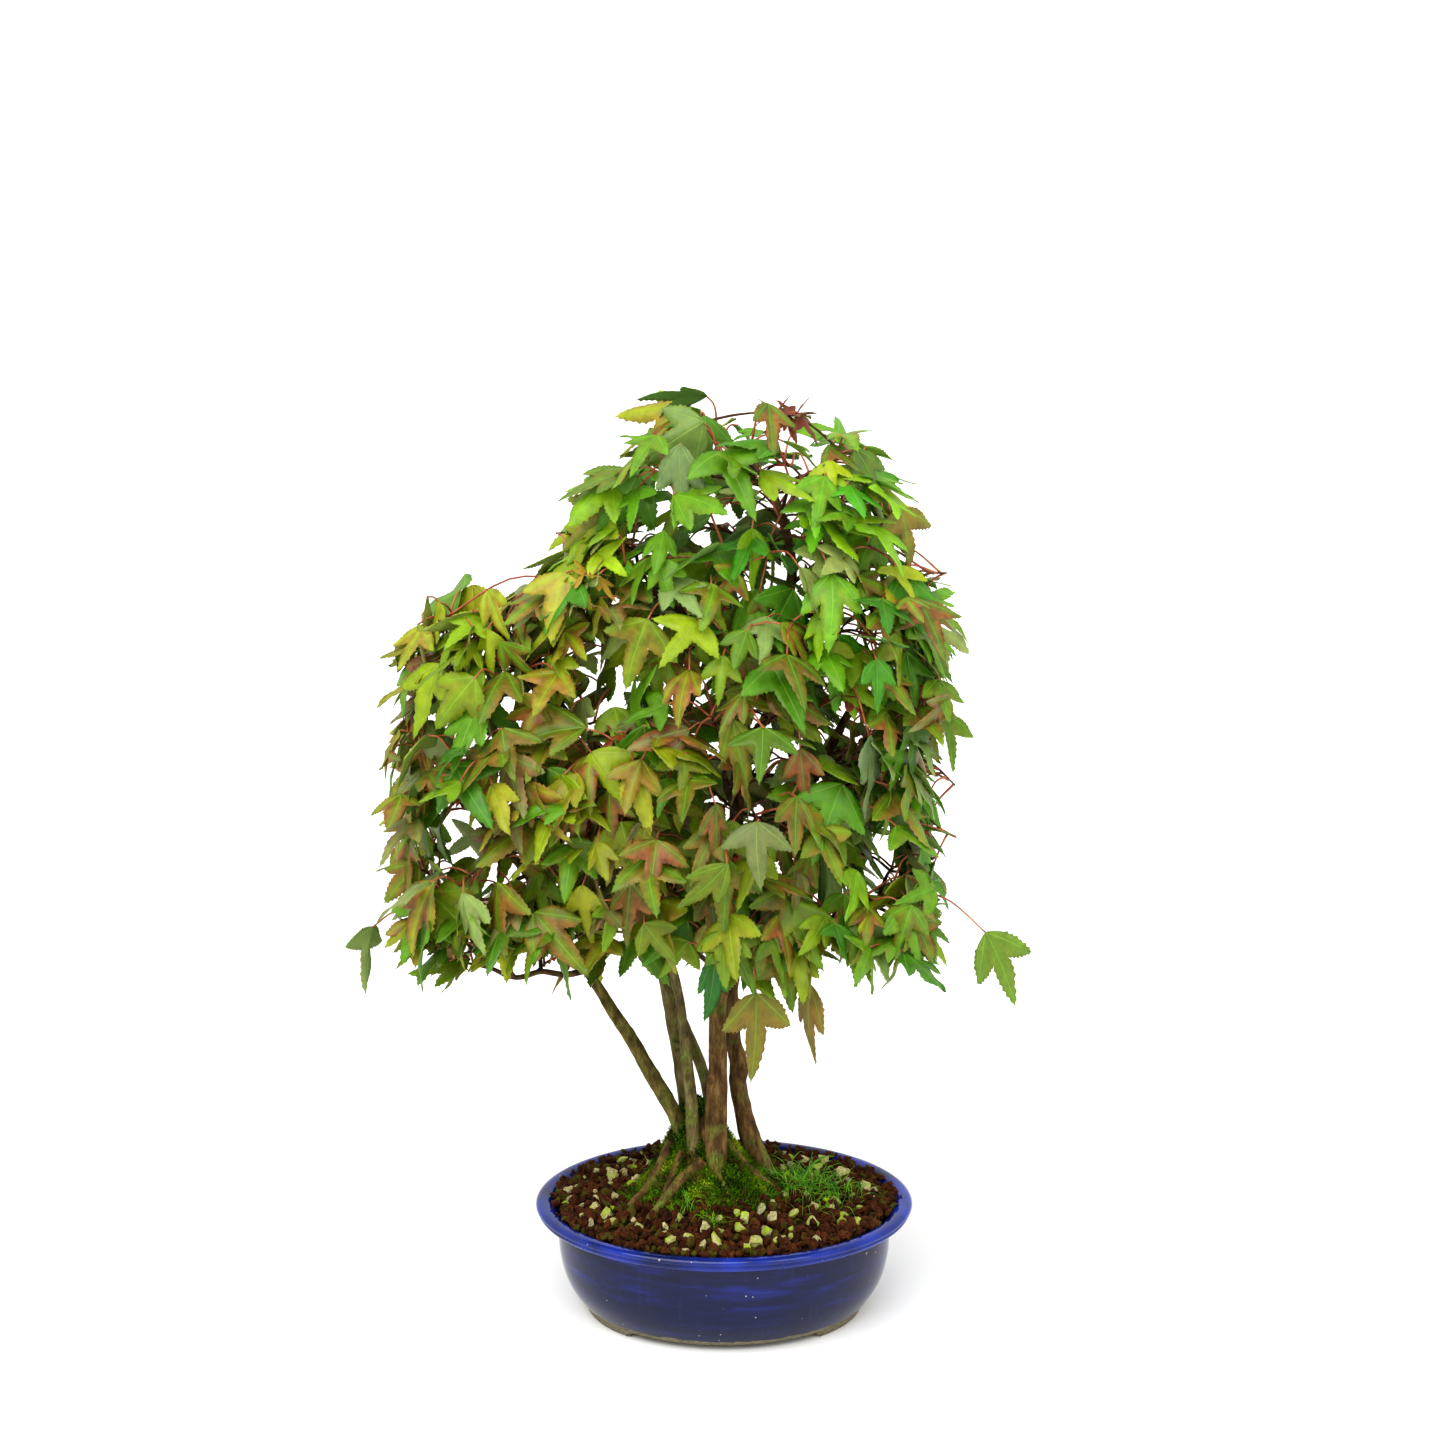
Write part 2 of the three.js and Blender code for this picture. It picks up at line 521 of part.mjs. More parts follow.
const screenCuts = [];
for (const [side, x] of [['left', -DRAIN_HOLE_X], ['right', DRAIN_HOLE_X]]) {
  const cover = solidOf(new THREE.BoxGeometry(SCREEN.side + 2 * GAP, SCREEN.side + 2 * GAP, 4).translate(x, 0, FLOOR_TOP + 0.4));
  const wireCut = limb(wirePoints(x), 5, 1, GAP);
  screenCuts.push(cover, wireCut);
  add('drain_screen_' + side, geometryOf(screenSolid(x)), SCREEN_PLASTIC);
  add('screen_wire_' + side, limbGeometry(wirePoints(x), 5, 1), WIRE_METAL);
}

// The wood, and the same wood a little fatter, which makes room for it in its neighbours.
const wood = new Map();
const woodRoom = new Map();
for (const [name, points] of Object.entries(STEMS)) {
  wood.set(name, limb(points, 10, 1));
  woodRoom.set(name, limb(points, 10, 1, GAP));
}
for (const [name, points] of Object.entries(BRANCHES)) {
  wood.set(name, cutBy(limb(points, 8, 1), [...woodRoom.values()]));
  woodRoom.set(name, limb(points, 8, 1, GAP));
}
for (const [name, solid] of wood) add(name, geometryOf(solid), BARK);

const woodCuts = [...woodRoom.values()];
add('root_base', geometryOf(cutBy(rootBase(), woodCuts)), BARK);
add('soil_bed', geometryOf(cutBy(soilSolid(), [rootBase(GAP), ...screenCuts, ...woodCuts])), SOIL_GRAIN);
add('moss_mound', geometryOf(cutBy(mossSolid(), [soilSolid(GAP), rootBase(GAP), ...woodCuts])), MOSS_GREEN);
add('grass_tuft', geometryOf(grassSolid()), GRASS_GREEN);

// The sprays, one after another, each keeping clear of the wood and of the sprays before it.
const placed = [];
const twigRoom = SPRAYS.map((spray) => wasm.Manifold.union(shootsOf(spray).map((shoot) => twigSolid(shoot, 2))));
SPRAYS.forEach((spray, index) => {
  const laterTwigs = twigRoom.slice(index + 1);
  const solid = cutBy(spraySolid(spray, index, [...woodCuts, ...placed, ...laterTwigs]), [...woodCuts, ...placed]);
  placed.push(solid);
  add('leaf_spray_' + number(index + 1), geometryOf(solid), LEAF_GREEN);
});

// The origin is on the table, under the middle of the whole tree.
const box = new THREE.Box3().setFromObject(tree);
tree.position.set(-(box.min.x + box.max.x) / 2, -(box.min.y + box.max.y) / 2, 0);

export default tree;
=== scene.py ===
"""A trident maple bonsai in a glazed oval pot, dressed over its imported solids.

Shapes are made in millimetres from the middle of the pot, at the height of the table, with +Z up and the
front of the tree towards -Y. piece() turns them into metres in the part's own frame.
"""

import math

import bmesh
import bpy
import numpy as np
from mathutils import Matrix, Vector


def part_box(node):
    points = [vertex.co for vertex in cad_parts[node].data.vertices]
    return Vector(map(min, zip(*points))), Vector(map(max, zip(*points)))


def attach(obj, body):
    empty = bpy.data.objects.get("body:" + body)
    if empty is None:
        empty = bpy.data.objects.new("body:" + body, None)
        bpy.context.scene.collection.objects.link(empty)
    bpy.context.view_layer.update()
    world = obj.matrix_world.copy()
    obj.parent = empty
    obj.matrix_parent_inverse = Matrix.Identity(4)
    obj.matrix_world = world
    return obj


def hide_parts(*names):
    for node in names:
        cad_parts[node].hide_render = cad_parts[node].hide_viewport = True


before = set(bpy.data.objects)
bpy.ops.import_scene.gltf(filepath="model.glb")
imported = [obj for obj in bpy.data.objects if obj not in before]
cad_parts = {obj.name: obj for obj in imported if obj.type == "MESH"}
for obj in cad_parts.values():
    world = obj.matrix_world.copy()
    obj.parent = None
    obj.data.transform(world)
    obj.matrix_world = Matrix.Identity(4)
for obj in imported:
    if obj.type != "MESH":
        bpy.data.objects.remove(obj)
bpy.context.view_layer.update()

MM = 0.001
pot_low, pot_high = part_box("oval_pot")
POT_MIDDLE = np.array([(pot_low.x + pot_high.x) / 2, (pot_low.y + pot_high.y) / 2, 0.0])

# ---------------------------------------------------------------- the plan of the pot and the tree
# The soil, its mound, the crown, the stems, the branches and SPRAYS are the same as in the solids. The climb,
# the moss and FILLING_SPRAYS are this dress's own.

POT_OVAL = 190 / 238  # the pot is a turned form, narrowed front to back
SOIL_EDGE = 69.6  # how high the soil stands at the rim
SOIL_RISE = 2  # and how much higher in the middle, without the mound
SOIL_RADIUS = 106
MOUND = dict(x=-5, y=-2, height=24, spread=(44, 37))
CROWN = dict(x=-20, y=4, height=36, spread=(20, 20))
CLIMB = dict(x=-9, y=-11, height=15, spread=(28, 22))  # moss and earth drawn up round the stems' feet
MOSS = dict(x=-12, y=2, radius=60, oval=0.82, thickness=3)

# Each stem and branch is a list of [x, y, z, radius] along its middle, from its foot up.
STEMS = {
    "stem_front": [
        [-5, -19, 84, 8.4], [-5, -18, 103, 7.2], [-5, -16, 141, 6.6], [-4, -14, 168, 5.9],
        [-4, -12, 200, 5.3], [-1, -8, 226, 5.1], [7, -3, 254, 4.9], [11, 0, 272, 4.8], [8, 1, 304, 4.6],
        [8, 2, 340, 4.3], [12, 4, 384, 4.1], [25, 6, 427, 3.8], [40, 8, 467, 3.2], [37, 6, 501, 2.4],
        [27, 4, 532, 1.7],
    ],
    "stem_right": [
        [24, 10, 78, 7.4], [20, 12, 95, 6.2], [13, 13, 121, 4.9], [9, 14, 142, 4.5], [9, 13, 157, 4.9],
        [6, 12, 174, 4.0], [5, 13, 207, 3.9], [10, 16, 242, 3.7], [24, 20, 282, 3.4], [46, 23, 325, 3.0],
        [68, 24, 366, 2.5], [86, 20, 404, 1.8],
    ],
    "stem_knotted": [
        [-18, -15, 92, 5.4], [-19, -14, 113, 4.6], [-20.6, -13, 143, 3.9], [-23, -12, 168, 3.6],
        [-25, -12, 187, 3.2], [-27, -12, 206, 2.9], [-30, -13, 222, 2.7], [-36, -18, 250, 2.5],
        [-44, -27, 290, 2.2], [-48, -36, 330, 1.9], [-47, -42, 362, 1.5],
    ],
    "stem_left": [
        [-23, 6, 104, 4.6], [-25, 7, 136, 4.0], [-27, 8, 152, 4.1], [-29, 10, 169, 4.2], [-32, 12, 185, 4.3],
        [-35, 14, 204, 4.3], [-42, 18, 240, 4.0], [-54, 21, 290, 3.6], [-68, 21, 340, 3.3],
        [-84, 19, 369, 3.0], [-106, 16, 390, 2.6], [-134, 10, 424, 1.8],
    ],
    "stem_rear": [
        [-7, 21, 98, 4.9], [-9, 23, 126, 4.0], [-13, 26, 145, 3.7], [-20, 30, 163, 3.5], [-27, 34, 180, 3.3],
        [-37, 40, 210, 3.1], [-44, 46, 248, 2.8], [-46, 52, 292, 2.5], [-36, 57, 340, 2.2],
        [-18, 58, 388, 1.9], [-4, 56, 430, 1.5],
    ],
    "stem_leaning": [
        [-24, -4, 110, 5.6], [-31, -3, 130, 5.0], [-45, -2, 155, 4.6], [-57, -2, 178, 4.3],
        [-70, -2, 199, 3.8], [-79, -2, 215, 3.4], [-85, -2, 225, 3.3], [-97, -4, 243, 3.1],
        [-110, -4, 264, 2.9], [-121, -2, 287, 2.6], [-138, 0, 308, 2.2], [-156, 0, 330, 1.6],
    ],
}

BRANCHES = {
    "branch_low_left": [
        [-85, -2, 225, 2.2], [-98, -5, 223, 2.0], [-113, -8, 226, 1.8], [-129, -10, 223, 1.6],
        [-146, -12, 231, 1.3],
    ],
    "branch_low_front": [[-1, -8, 226, 1.7], [-9, -20, 236, 1.6], [-18, -38, 250, 1.5], [-22, -56, 258, 1.2]],
    "branch_low_right": [
        [9, -1, 266, 2.4], [28, -8, 270, 2.2], [55, -14, 271, 2.0], [84, -18, 275, 1.7], [104, -20, 282, 1.3],
    ],
    "branch_mid_right": [
        [9, 3, 349, 2.6], [34, -4, 350, 2.3], [64, -8, 354, 2.0], [92, -8, 364, 1.7], [108, -8, 372, 1.3],
    ],
    "branch_mid_front": [[8, 2, 325, 2.4], [5, -20, 338, 2.1], [1, -42, 356, 1.8], [0, -62, 378, 1.3]],
    "branch_upper_left": [
        [20, 5, 412, 2.6], [0, 0, 432, 2.3], [-24, -5, 452, 2.0], [-50, -8, 472, 1.6], [-66, -8, 484, 1.3],
    ],
    "branch_upper_right": [[30, 7, 440, 2.3], [52, 4, 450, 2.0], [78, 0, 462, 1.7], [96, -2, 472, 1.3]],
    "branch_left_front": [
        [-70, 21, 345, 2.3], [-86, 0, 360, 2.0], [-104, -22, 366, 1.7], [-122, -38, 370, 1.3],
    ],
    "branch_left_rear": [[-106, 16, 390, 2.0], [-124, 34, 392, 1.7], [-144, 46, 388, 1.3]],
    "branch_rear_right": [[40, 22, 313, 2.2], [54, 42, 330, 1.9], [64, 60, 350, 1.4]],
}

# A spray is a twig with leaves: where it leaves the wood, and where its leafy end is.
SPRAYS = [
    # the top of the tree
    ([27, 4, 530], [-6, -30, 556]), ([29, 5, 524], [62, -26, 540]), ([34, 6, 510], [58, 42, 528]),
    ([27, 4, 531], [-18, 24, 560]), ([37, 6, 501], [24, -56, 498]), ([39, 7, 480], [-12, 58, 492]),
    ([-40, -7, 464], [-58, -50, 492]), ([-60, -8, 480], [-88, 22, 494]),
    # the right side
    ([96, -2, 472], [116, -34, 470]), ([90, -1, 468], [112, 30, 462]), ([66, 1, 456], [62, -64, 440]),
    ([86, 20, 402], [112, 42, 414]), ([104, -8, 370], [122, -46, 386]), ([100, -8, 368], [126, 30, 346]),
    ([104, -20, 282], [128, -26, 306]), ([76, -17, 274], [88, -66, 292]), ([94, -19, 278], [108, 32, 282]),
    # the middle, front and rear
    ([0, -62, 378], [-8, -88, 412]), ([1, -46, 360], [22, -96, 346]), ([-47, -42, 360], [-58, -74, 388]),
    ([-47, -36, 332], [-62, -84, 328]), ([-16, -34, 247], [16, -78, 268]), ([64, 60, 350], [60, 84, 322]),
    ([-4, 56, 430], [6, 82, 440]), ([-46, 50, 276], [-22, 88, 284]),
    # the left side
    ([-134, 10, 424], [-160, -10, 432]), ([-118, 13, 404], [-118, -46, 428]),
    ([-144, 46, 388], [-168, 42, 398]), ([-122, -38, 370], [-158, -52, 372]),
    ([-156, 0, 330], [-190, -16, 342]), ([-138, 0, 308], [-134, -58, 304]),
    ([-128, -1, 296], [-146, 54, 310]), ([-146, -12, 231], [-184, -20, 270]),
    ([-98, -4, 244], [-90, -64, 262]),
]

LEAVES_ON_SPRAY = 15
LEAVES_ON_FILLING_SPRAY = 13
LEAVES_ON_SHORT_SHOOT = 5
LEAF_LENGTH = 44  # blade, base to the tip of the middle lobe
STALK_LENGTH = 25
CANOPY_AXIS = np.array([-20.0, 0.0])  # leaves turn their upper face away from this line
CANOPY_FOOT = 236  # the lower edge of the canopy, at the middle of the pot
CANOPY_FOOT_SLOPE = 0.36  # how much higher it is for each millimetre nearer the front

# More sprays that fill the canopy between those of the solids.
FILLING_SPRAYS = [
    # the top of the tree and its two shoulders
    ([37, 6, 501], [84, -4, 522]), ([40, 8, 467], [100, -14, 512]), ([27, 4, 528], [-52, -20, 536]),
    ([-50, -8, 472], [-90, -12, 516]), ([34, 6, 510], [40, -40, 536]), ([30, 7, 440], [40, -70, 462]),
    ([20, 5, 412], [-20, -70, 448]), ([-24, -5, 452], [-30, -58, 476]), ([39, 7, 480], [30, 60, 508]),
    ([-50, -8, 472], [-56, 40, 486]),
    # the right side
    ([108, -8, 372], [132, -14, 410]), ([86, 20, 404], [124, 8, 446]), ([92, -8, 364], [112, -50, 420]),
    ([104, -20, 282], [126, 6, 330]), ([84, -18, 275], [118, -58, 262]), ([78, 0, 462], [90, -46, 456]),
    ([64, -8, 354], [74, -66, 352]), ([55, -14, 271], [56, -66, 268]),
    # the middle, front and rear
    ([0, -62, 378], [-34, -84, 376]), ([8, 2, 325], [32, -62, 330]), ([-44, -27, 290], [-28, -74, 300]),
    ([11, 0, 272], [48, -52, 252]), ([-54, 21, 290], [-84, -42, 300]), ([-48, -36, 330], [-86, -62, 340]),
    ([-36, 57, 340], [-62, 84, 332]), ([46, 23, 325], [34, 78, 372]), ([86, 20, 404], [84, 70, 384]),
    ([-54, 21, 290], [-88, 70, 316]), ([24, 20, 282], [30, 76, 286]), ([-44, 46, 248], [-78, 70, 250]),
    # the left side
    ([-106, 16, 390], [-124, 4, 450]), ([-84, 19, 369], [-146, -8, 452]),
    ([-134, 10, 424], [-176, 8, 446]), ([-66, -8, 484], [-98, -22, 470]),
    ([-156, 0, 330], [-192, -6, 374]), ([-146, -12, 231], [-188, -10, 300]),
    ([-129, -10, 223], [-148, -54, 258]), ([-122, -38, 370], [-120, -72, 352]),
    ([-138, 0, 308], [-172, 32, 336]), ([-104, -22, 366], [-92, -60, 392]),
    ([-113, -8, 226], [-118, 40, 244]), ([-121, -2, 287], [-150, -30, 268]),
]

# Single leaves that stand clear of the rest: the number of the spray that bears them, the blade's foot and
# tip, its length, its green, how far bronze has spread over it, and its turn about its own length in degrees.
STRAY_LEAVES = [
    (15, [158, -36, 262], [180, -44, 224], 50, "6F9A2E", 0.2, 46),
    (33, [-214, -26, 262], [-222, -30, 222], 42, "7C9C34", 0.2, 48),
    (22, [19, -78, 238], [20, -86, 184], 57, "7E8A24", 0.45, 8),
    (22, [51, -74, 243], [44, -80, 196], 52, "857E2A", 0.5, 70),
    (1, [-12, -36, 574], [-48, -46, 556], 42, "7FA04E", 0.1, 0),
    (2, [76, -34, 558], [97, -42, 530], 38, "5C8B2B", 0.2, 10),
    (19, [3, -94, 347], [8, -104, 307], 46, "8A8A2E", 0.85, 12),
    (18, [-18, -92, 398], [-22, -98, 368], 36, "A09A38", 0.95, 30),
    (18, [8, -94, 395], [12, -100, 362], 36, "8E8A34", 0.9, -34),
    (11, [44, -84, 391], [48, -90, 360], 36, "8A7F38", 0.9, 26),
    (13, [112, -58, 423], [114, -66, 398], 26, "6F2B2F", 1.0, 20),
    (11, [84, -80, 398], [88, -88, 352], 52, "6E9160", 0.2, -24),
    (29, [-103, -76, 377], [-104, -88, 338], 44, "6FA83A", 0.05, 16),
    (20, [-46, -90, 351], [-50, -98, 308], 46, "7E8F5C", 0.45, -20),
    (21, [-62, -80, 344], [-70, -88, 310], 38, "8C8A3A", 0.6, 38),
    (26, [-172, -20, 428], [-184, -28, 400], 34, "8A6A36", 0.9, -30),
    (22, [-5, -84, 267], [-7, -92, 226], 46, "2F7A2C", 0.0, -14),
    (5, [-25, -60, 566], [-28, -72, 528], 50, "7F9C62", 0.1, 10),
    (37, [-53, -40, 546], [-97, -54, 541], 46, "6C9A30", 0.3, 40),
    (37, [-50, -38, 543], [-76, -54, 505], 48, "5FA02C", 0.1, -20),
    (37, [-62, -34, 526], [-94, -46, 492], 44, "8FA43A", 0.45, -30),
    (36, [104, -16, 520], [116, -28, 480], 40, "8C9A34", 0.5, 30),
]

YOUNG_LEAVES = 6  # in each of the clusters
# Clusters of young leaves just out of the bud: where, the spray that bears them, and their colour.
YOUNG_CLUSTERS = [
    ([31, 0, 574], 4, "9A4634"), ([41, -4, 573], 2, "8A3A2E"), ([-78, -56, 488], 7, "C9A23A"),
    ([6, -84, 330], 19, "A8362A"), ([-60, -70, 396], 20, "A8482E"), ([-150, -40, 352], 29, "B0603A"),
    ([70, -70, 420], 11, "8C3A30"), ([20, 60, 520], 3, "A0523A"), ([-100, 60, 400], 28, "A8482E"),
]

# ---------------------------------------------------------------- colours and materials


def srgb(code):
    """An sRGB hex colour as the linear numbers that shaders take."""
    channels = [int(code[i:i + 2], 16) / 255 for i in (0, 2, 4)]
    return (*(c / 12.92 if c <= 0.04045 else ((c + 0.055) / 1.055) ** 2.4 for c in channels), 1.0)


def each(size):
    """The texture scale whose features are `size` millimetres wide."""
    return 1 / (size * MM)


def add(material, kind, inputs=None, stops=(), **settings):
    """Adds a shader node with its settings, its values and links by input, and a ramp's colour stops."""
    made = material.node_tree.nodes.new("ShaderNode" + kind)
    for name, value in settings.items():
        setattr(made, name, value)
    for name, value in (inputs or {}).items():
        if isinstance(value, bpy.types.NodeSocket):
            material.node_tree.links.new(value, made.inputs[name])
        else:
            made.inputs[name].default_value = value
    for i, (place, colour) in enumerate(stops):
        element = made.color_ramp.elements[i] if i < 2 else made.color_ramp.elements.new(place)
        element.position, element.color = place, srgb(colour)
    return made


def new_material(name):
    material = bpy.data.materials.new(name)
    material.use_nodes = True
    material.node_tree.nodes.clear()
    return material


def show(material, shader):
    add(material, "OutputMaterial", {"Surface": shader.outputs[0]})
    return material


def cobalt_glaze():
    """Cobalt glaze on stoneware: a glassy coat that breaks paler where it ran, specked with lime, over a bare
    grey-brown clay foot. It gives deep blue with soft horizontal streaks and sharp window highlights."""
    m = new_material("cobalt_glazed_stoneware")
    place = add(m, "TexCoord").outputs["Object"]
    height = add(m, "SeparateXYZ", {0: place}).outputs["Z"]
    # the glaze ran sideways on the wheel: streaks about 50 mm long and 6 mm high, clearest under the lip
    squeezed = add(m, "Mapping", {"Vector": place, "Scale": (1, 1, 8)}).outputs[0]
    streak = add(m, "TexNoise", {
        "Vector": squeezed, "Scale": each(50), "Detail": 4, "Roughness": 0.5,
    }).outputs[0]
    streaks = add(m, "ValToRGB", {0: streak}, stops=[
        (0.36, "050C2E"), (0.77, "22358A"), (0.54, "0A1344"), (0.65, "121E6A"),
    ]).outputs[0]
    upper = add(m, "MapRange", {0: height, 1: 24 * MM, 2: 52 * MM, 3: 0.25, 4: 1.0}).outputs[0]
    run = add(m, "Mix", {0: upper, 6: srgb("070F34"), 7: streaks}, data_type="RGBA").outputs[2]
    # faint grey water marks, at most 5 mm wide, run down the wall
    tall = add(m, "Mapping", {"Vector": place, "Scale": (1, 1, 0.12)}).outputs[0]
    drip = add(m, "TexNoise", {"Vector": tall, "Scale": each(5), "Detail": 3}).outputs[0]
    drip_share = add(m, "MapRange", {0: drip, 1: 0.60, 2: 0.85, 4: 0.05}).outputs[0]
    body = add(m, "Mix", {0: drip_share, 6: run, 7: srgb("767C98")}, data_type="RGBA").outputs[2]
    # the glaze is thickest and bluest on the lip
    lip = add(m, "MapRange", {0: height, 1: 60 * MM, 2: 64 * MM}).outputs[0]
    lip_patch = add(m, "TexNoise", {"Vector": place, "Scale": each(32), "Detail": 2}).outputs[0]
    lip_blue = add(m, "ValToRGB", {0: lip_patch}, stops=[(0.35, "0E1C50"), (0.70, "1E369C")]).outputs[0]
    coloured = add(m, "Mix", {0: lip, 6: body, 7: lip_blue}, data_type="RGBA").outputs[2]
    # worn patches of a few millimetres on the lip show the pale body
    wear = add(m, "TexNoise", {"Vector": place, "Scale": each(11), "Detail": 5, "Roughness": 0.7}).outputs[0]
    worn = add(m, "MapRange", {0: wear, 1: 0.70, 2: 0.74, 4: 0.7}).outputs[0]
    worn_lip = add(m, "Math", {0: worn, 1: lip}, operation="MULTIPLY").outputs[0]
    glaze = add(m, "Mix", {0: worn_lip, 6: coloured, 7: srgb("A89E84")}, data_type="RGBA").outputs[2]
    # lime and dust in specks of up to 2 mm, in loose groups
    speck = add(m, "TexVoronoi", {"Vector": place, "Scale": each(4.5)}).outputs["Distance"]
    speck_size = add(m, "TexNoise", {"Vector": place, "Scale": each(12), "Detail": 2}).outputs[0]
    limit = add(m, "MapRange", {0: speck_size, 1: 0.54, 2: 0.78, 3: 0.0, 4: 0.26}).outputs[0]
    dusty = add(m, "Math", {0: speck, 1: limit}, operation="LESS_THAN").outputs[0]
    lime = add(m, "Math", {0: dusty, 1: 0.55}, operation="MULTIPLY").outputs[0]
    specked = add(m, "Mix", {0: lime, 6: glaze, 7: srgb("C9C2AE")}, data_type="RGBA").outputs[2]
    # the glaze stops in an uneven line above the foot
    edge = add(m, "TexNoise", {"Vector": place, "Scale": each(14), "Detail": 2}).outputs[0]
    stop = add(m, "Math", {0: edge, 1: 5 * MM, 2: 5.5 * MM}, operation="MULTIPLY_ADD").outputs[0]
    glazed = add(m, "Math", {0: height, 1: stop}, operation="GREATER_THAN").outputs[0]
    clay_grain = add(m, "TexNoise", {"Vector": place, "Scale": each(1.6), "Detail": 4}).outputs[0]
    clay = add(m, "ValToRGB", {0: clay_grain}, stops=[(0.3, "4E4A3C"), (0.7, "8A8168")]).outputs[0]
    colour = add(m, "Mix", {0: glazed, 6: clay, 7: specked}, data_type="RGBA").outputs[2]
    smooth = add(m, "MapRange", {0: glazed, 3: 0.85, 4: 0.09}).outputs[0]
    rough = add(m, "Math", {0: lime, 1: 0.6, 2: smooth}, operation="MULTIPLY_ADD").outputs[0]
    # soft waves about 5 mm wide in the glaze, and grit in the clay
    peel = add(m, "TexNoise", {"Vector": place, "Scale": each(5), "Detail": 2}).outputs[0]
    relief = add(m, "Mix", {0: glazed, 2: clay_grain, 3: peel}).outputs[0]
    bump = add(m, "Bump", {"Height": relief, "Strength": 0.15, "Distance": 0.4 * MM}).outputs[0]
    return show(m, add(m, "BsdfPrincipled", {
        "Base Color": colour, "Roughness": rough, "IOR": 1.5, "Specular IOR Level": 0.38, "Normal": bump,
    }))


def grain_clay(name, dark, light, algae):
    """Fired clay or pumice broken to grains: matt and porous, each grain its own shade, with green algae on
    some. The tint's alpha says how much of a grain the algae has taken."""
    m = new_material(name)
    place = add(m, "TexCoord").outputs["Object"]
    tint = add(m, "Attribute", attribute_name="tint").outputs
    pores = add(m, "TexNoise", {
        "Vector": place, "Scale": each(1.2), "Detail": 4, "Roughness": 0.7,
    }).outputs[0]
    clay = add(m, "ValToRGB", {0: pores}, stops=[(0.28, dark), (0.74, light)]).outputs[0]
    toned = add(m, "Mix", {
        0: 1.0, 6: clay, 7: tint["Color"],
    }, data_type="RGBA", blend_type="MULTIPLY").outputs[2]
    patch = add(m, "TexNoise", {"Vector": place, "Scale": each(5), "Detail": 3}).outputs[0]
    share = add(m, "MapRange", {0: patch, 1: 0.36, 2: 0.6, 4: tint["Alpha"]}).outputs[0]
    colour = add(m, "Mix", {0: share, 6: toned, 7: srgb(algae)}, data_type="RGBA").outputs[2]
    bump = add(m, "Bump", {"Height": pores, "Strength": 0.6, "Distance": 0.5 * MM}).outputs[0]
    return show(m, add(m, "BsdfPrincipled", {
        "Base Color": colour, "Roughness": 0.92, "Specular IOR Level": 0.15, "Normal": bump,
    }))


def cushion_moss():
    """Short cushion moss: thousands of soft tips, bright and yellower where they are young and darker olive
    below, where painted shade darkens the tips' feet and the bed under them, so the mound looks velvety."""
    m = new_material("cushion_moss")
    place = add(m, "TexCoord").outputs["Object"]
    # the tint holds each tip's tone, painted shade on the tips' feet and the bed under them, and the tips'
    # young colour
    shade = add(m, "Attribute", attribute_name="tint").outputs["Color"]
    tips = add(m, "TexNoise", {"Vector": place, "Scale": each(1.8), "Detail": 4, "Roughness": 0.7}).outputs[0]
    cushions = add(m, "TexNoise", {"Vector": place, "Scale": each(13), "Detail": 3}).outputs[0]
    mixed = add(m, "Math", {0: tips, 1: 0.45, 2: cushions}, operation="MULTIPLY_ADD").outputs[0]
    green = add(m, "ValToRGB", {0: mixed}, stops=[
        (0.52, "20280A"), (0.94, "A0B428"), (0.66, "3A580C"), (0.80, "5C8412"),
    ]).outputs[0]
    # old patches, about 10 mm wide, have gone brown
    age = add(m, "TexNoise", {"Vector": place, "Scale": each(10), "Detail": 3}).outputs[0]
    old = add(m, "MapRange", {0: age, 1: 0.54, 2: 0.66, 4: 0.7}).outputs[0]
    aged = add(m, "Mix", {0: old, 6: green, 7: srgb("5A4420")}, data_type="RGBA").outputs[2]
    colour = add(m, "Mix", {0: 1.0, 6: aged, 7: shade}, data_type="RGBA", blend_type="MULTIPLY").outputs[2]
    bump = add(m, "Bump", {"Height": tips, "Strength": 0.8, "Distance": 1.2 * MM}).outputs[0]
    return show(m, add(m, "BsdfPrincipled", {
        "Base Color": colour, "Roughness": 0.95, "Specular IOR Level": 0.1, "Normal": bump,
    }))


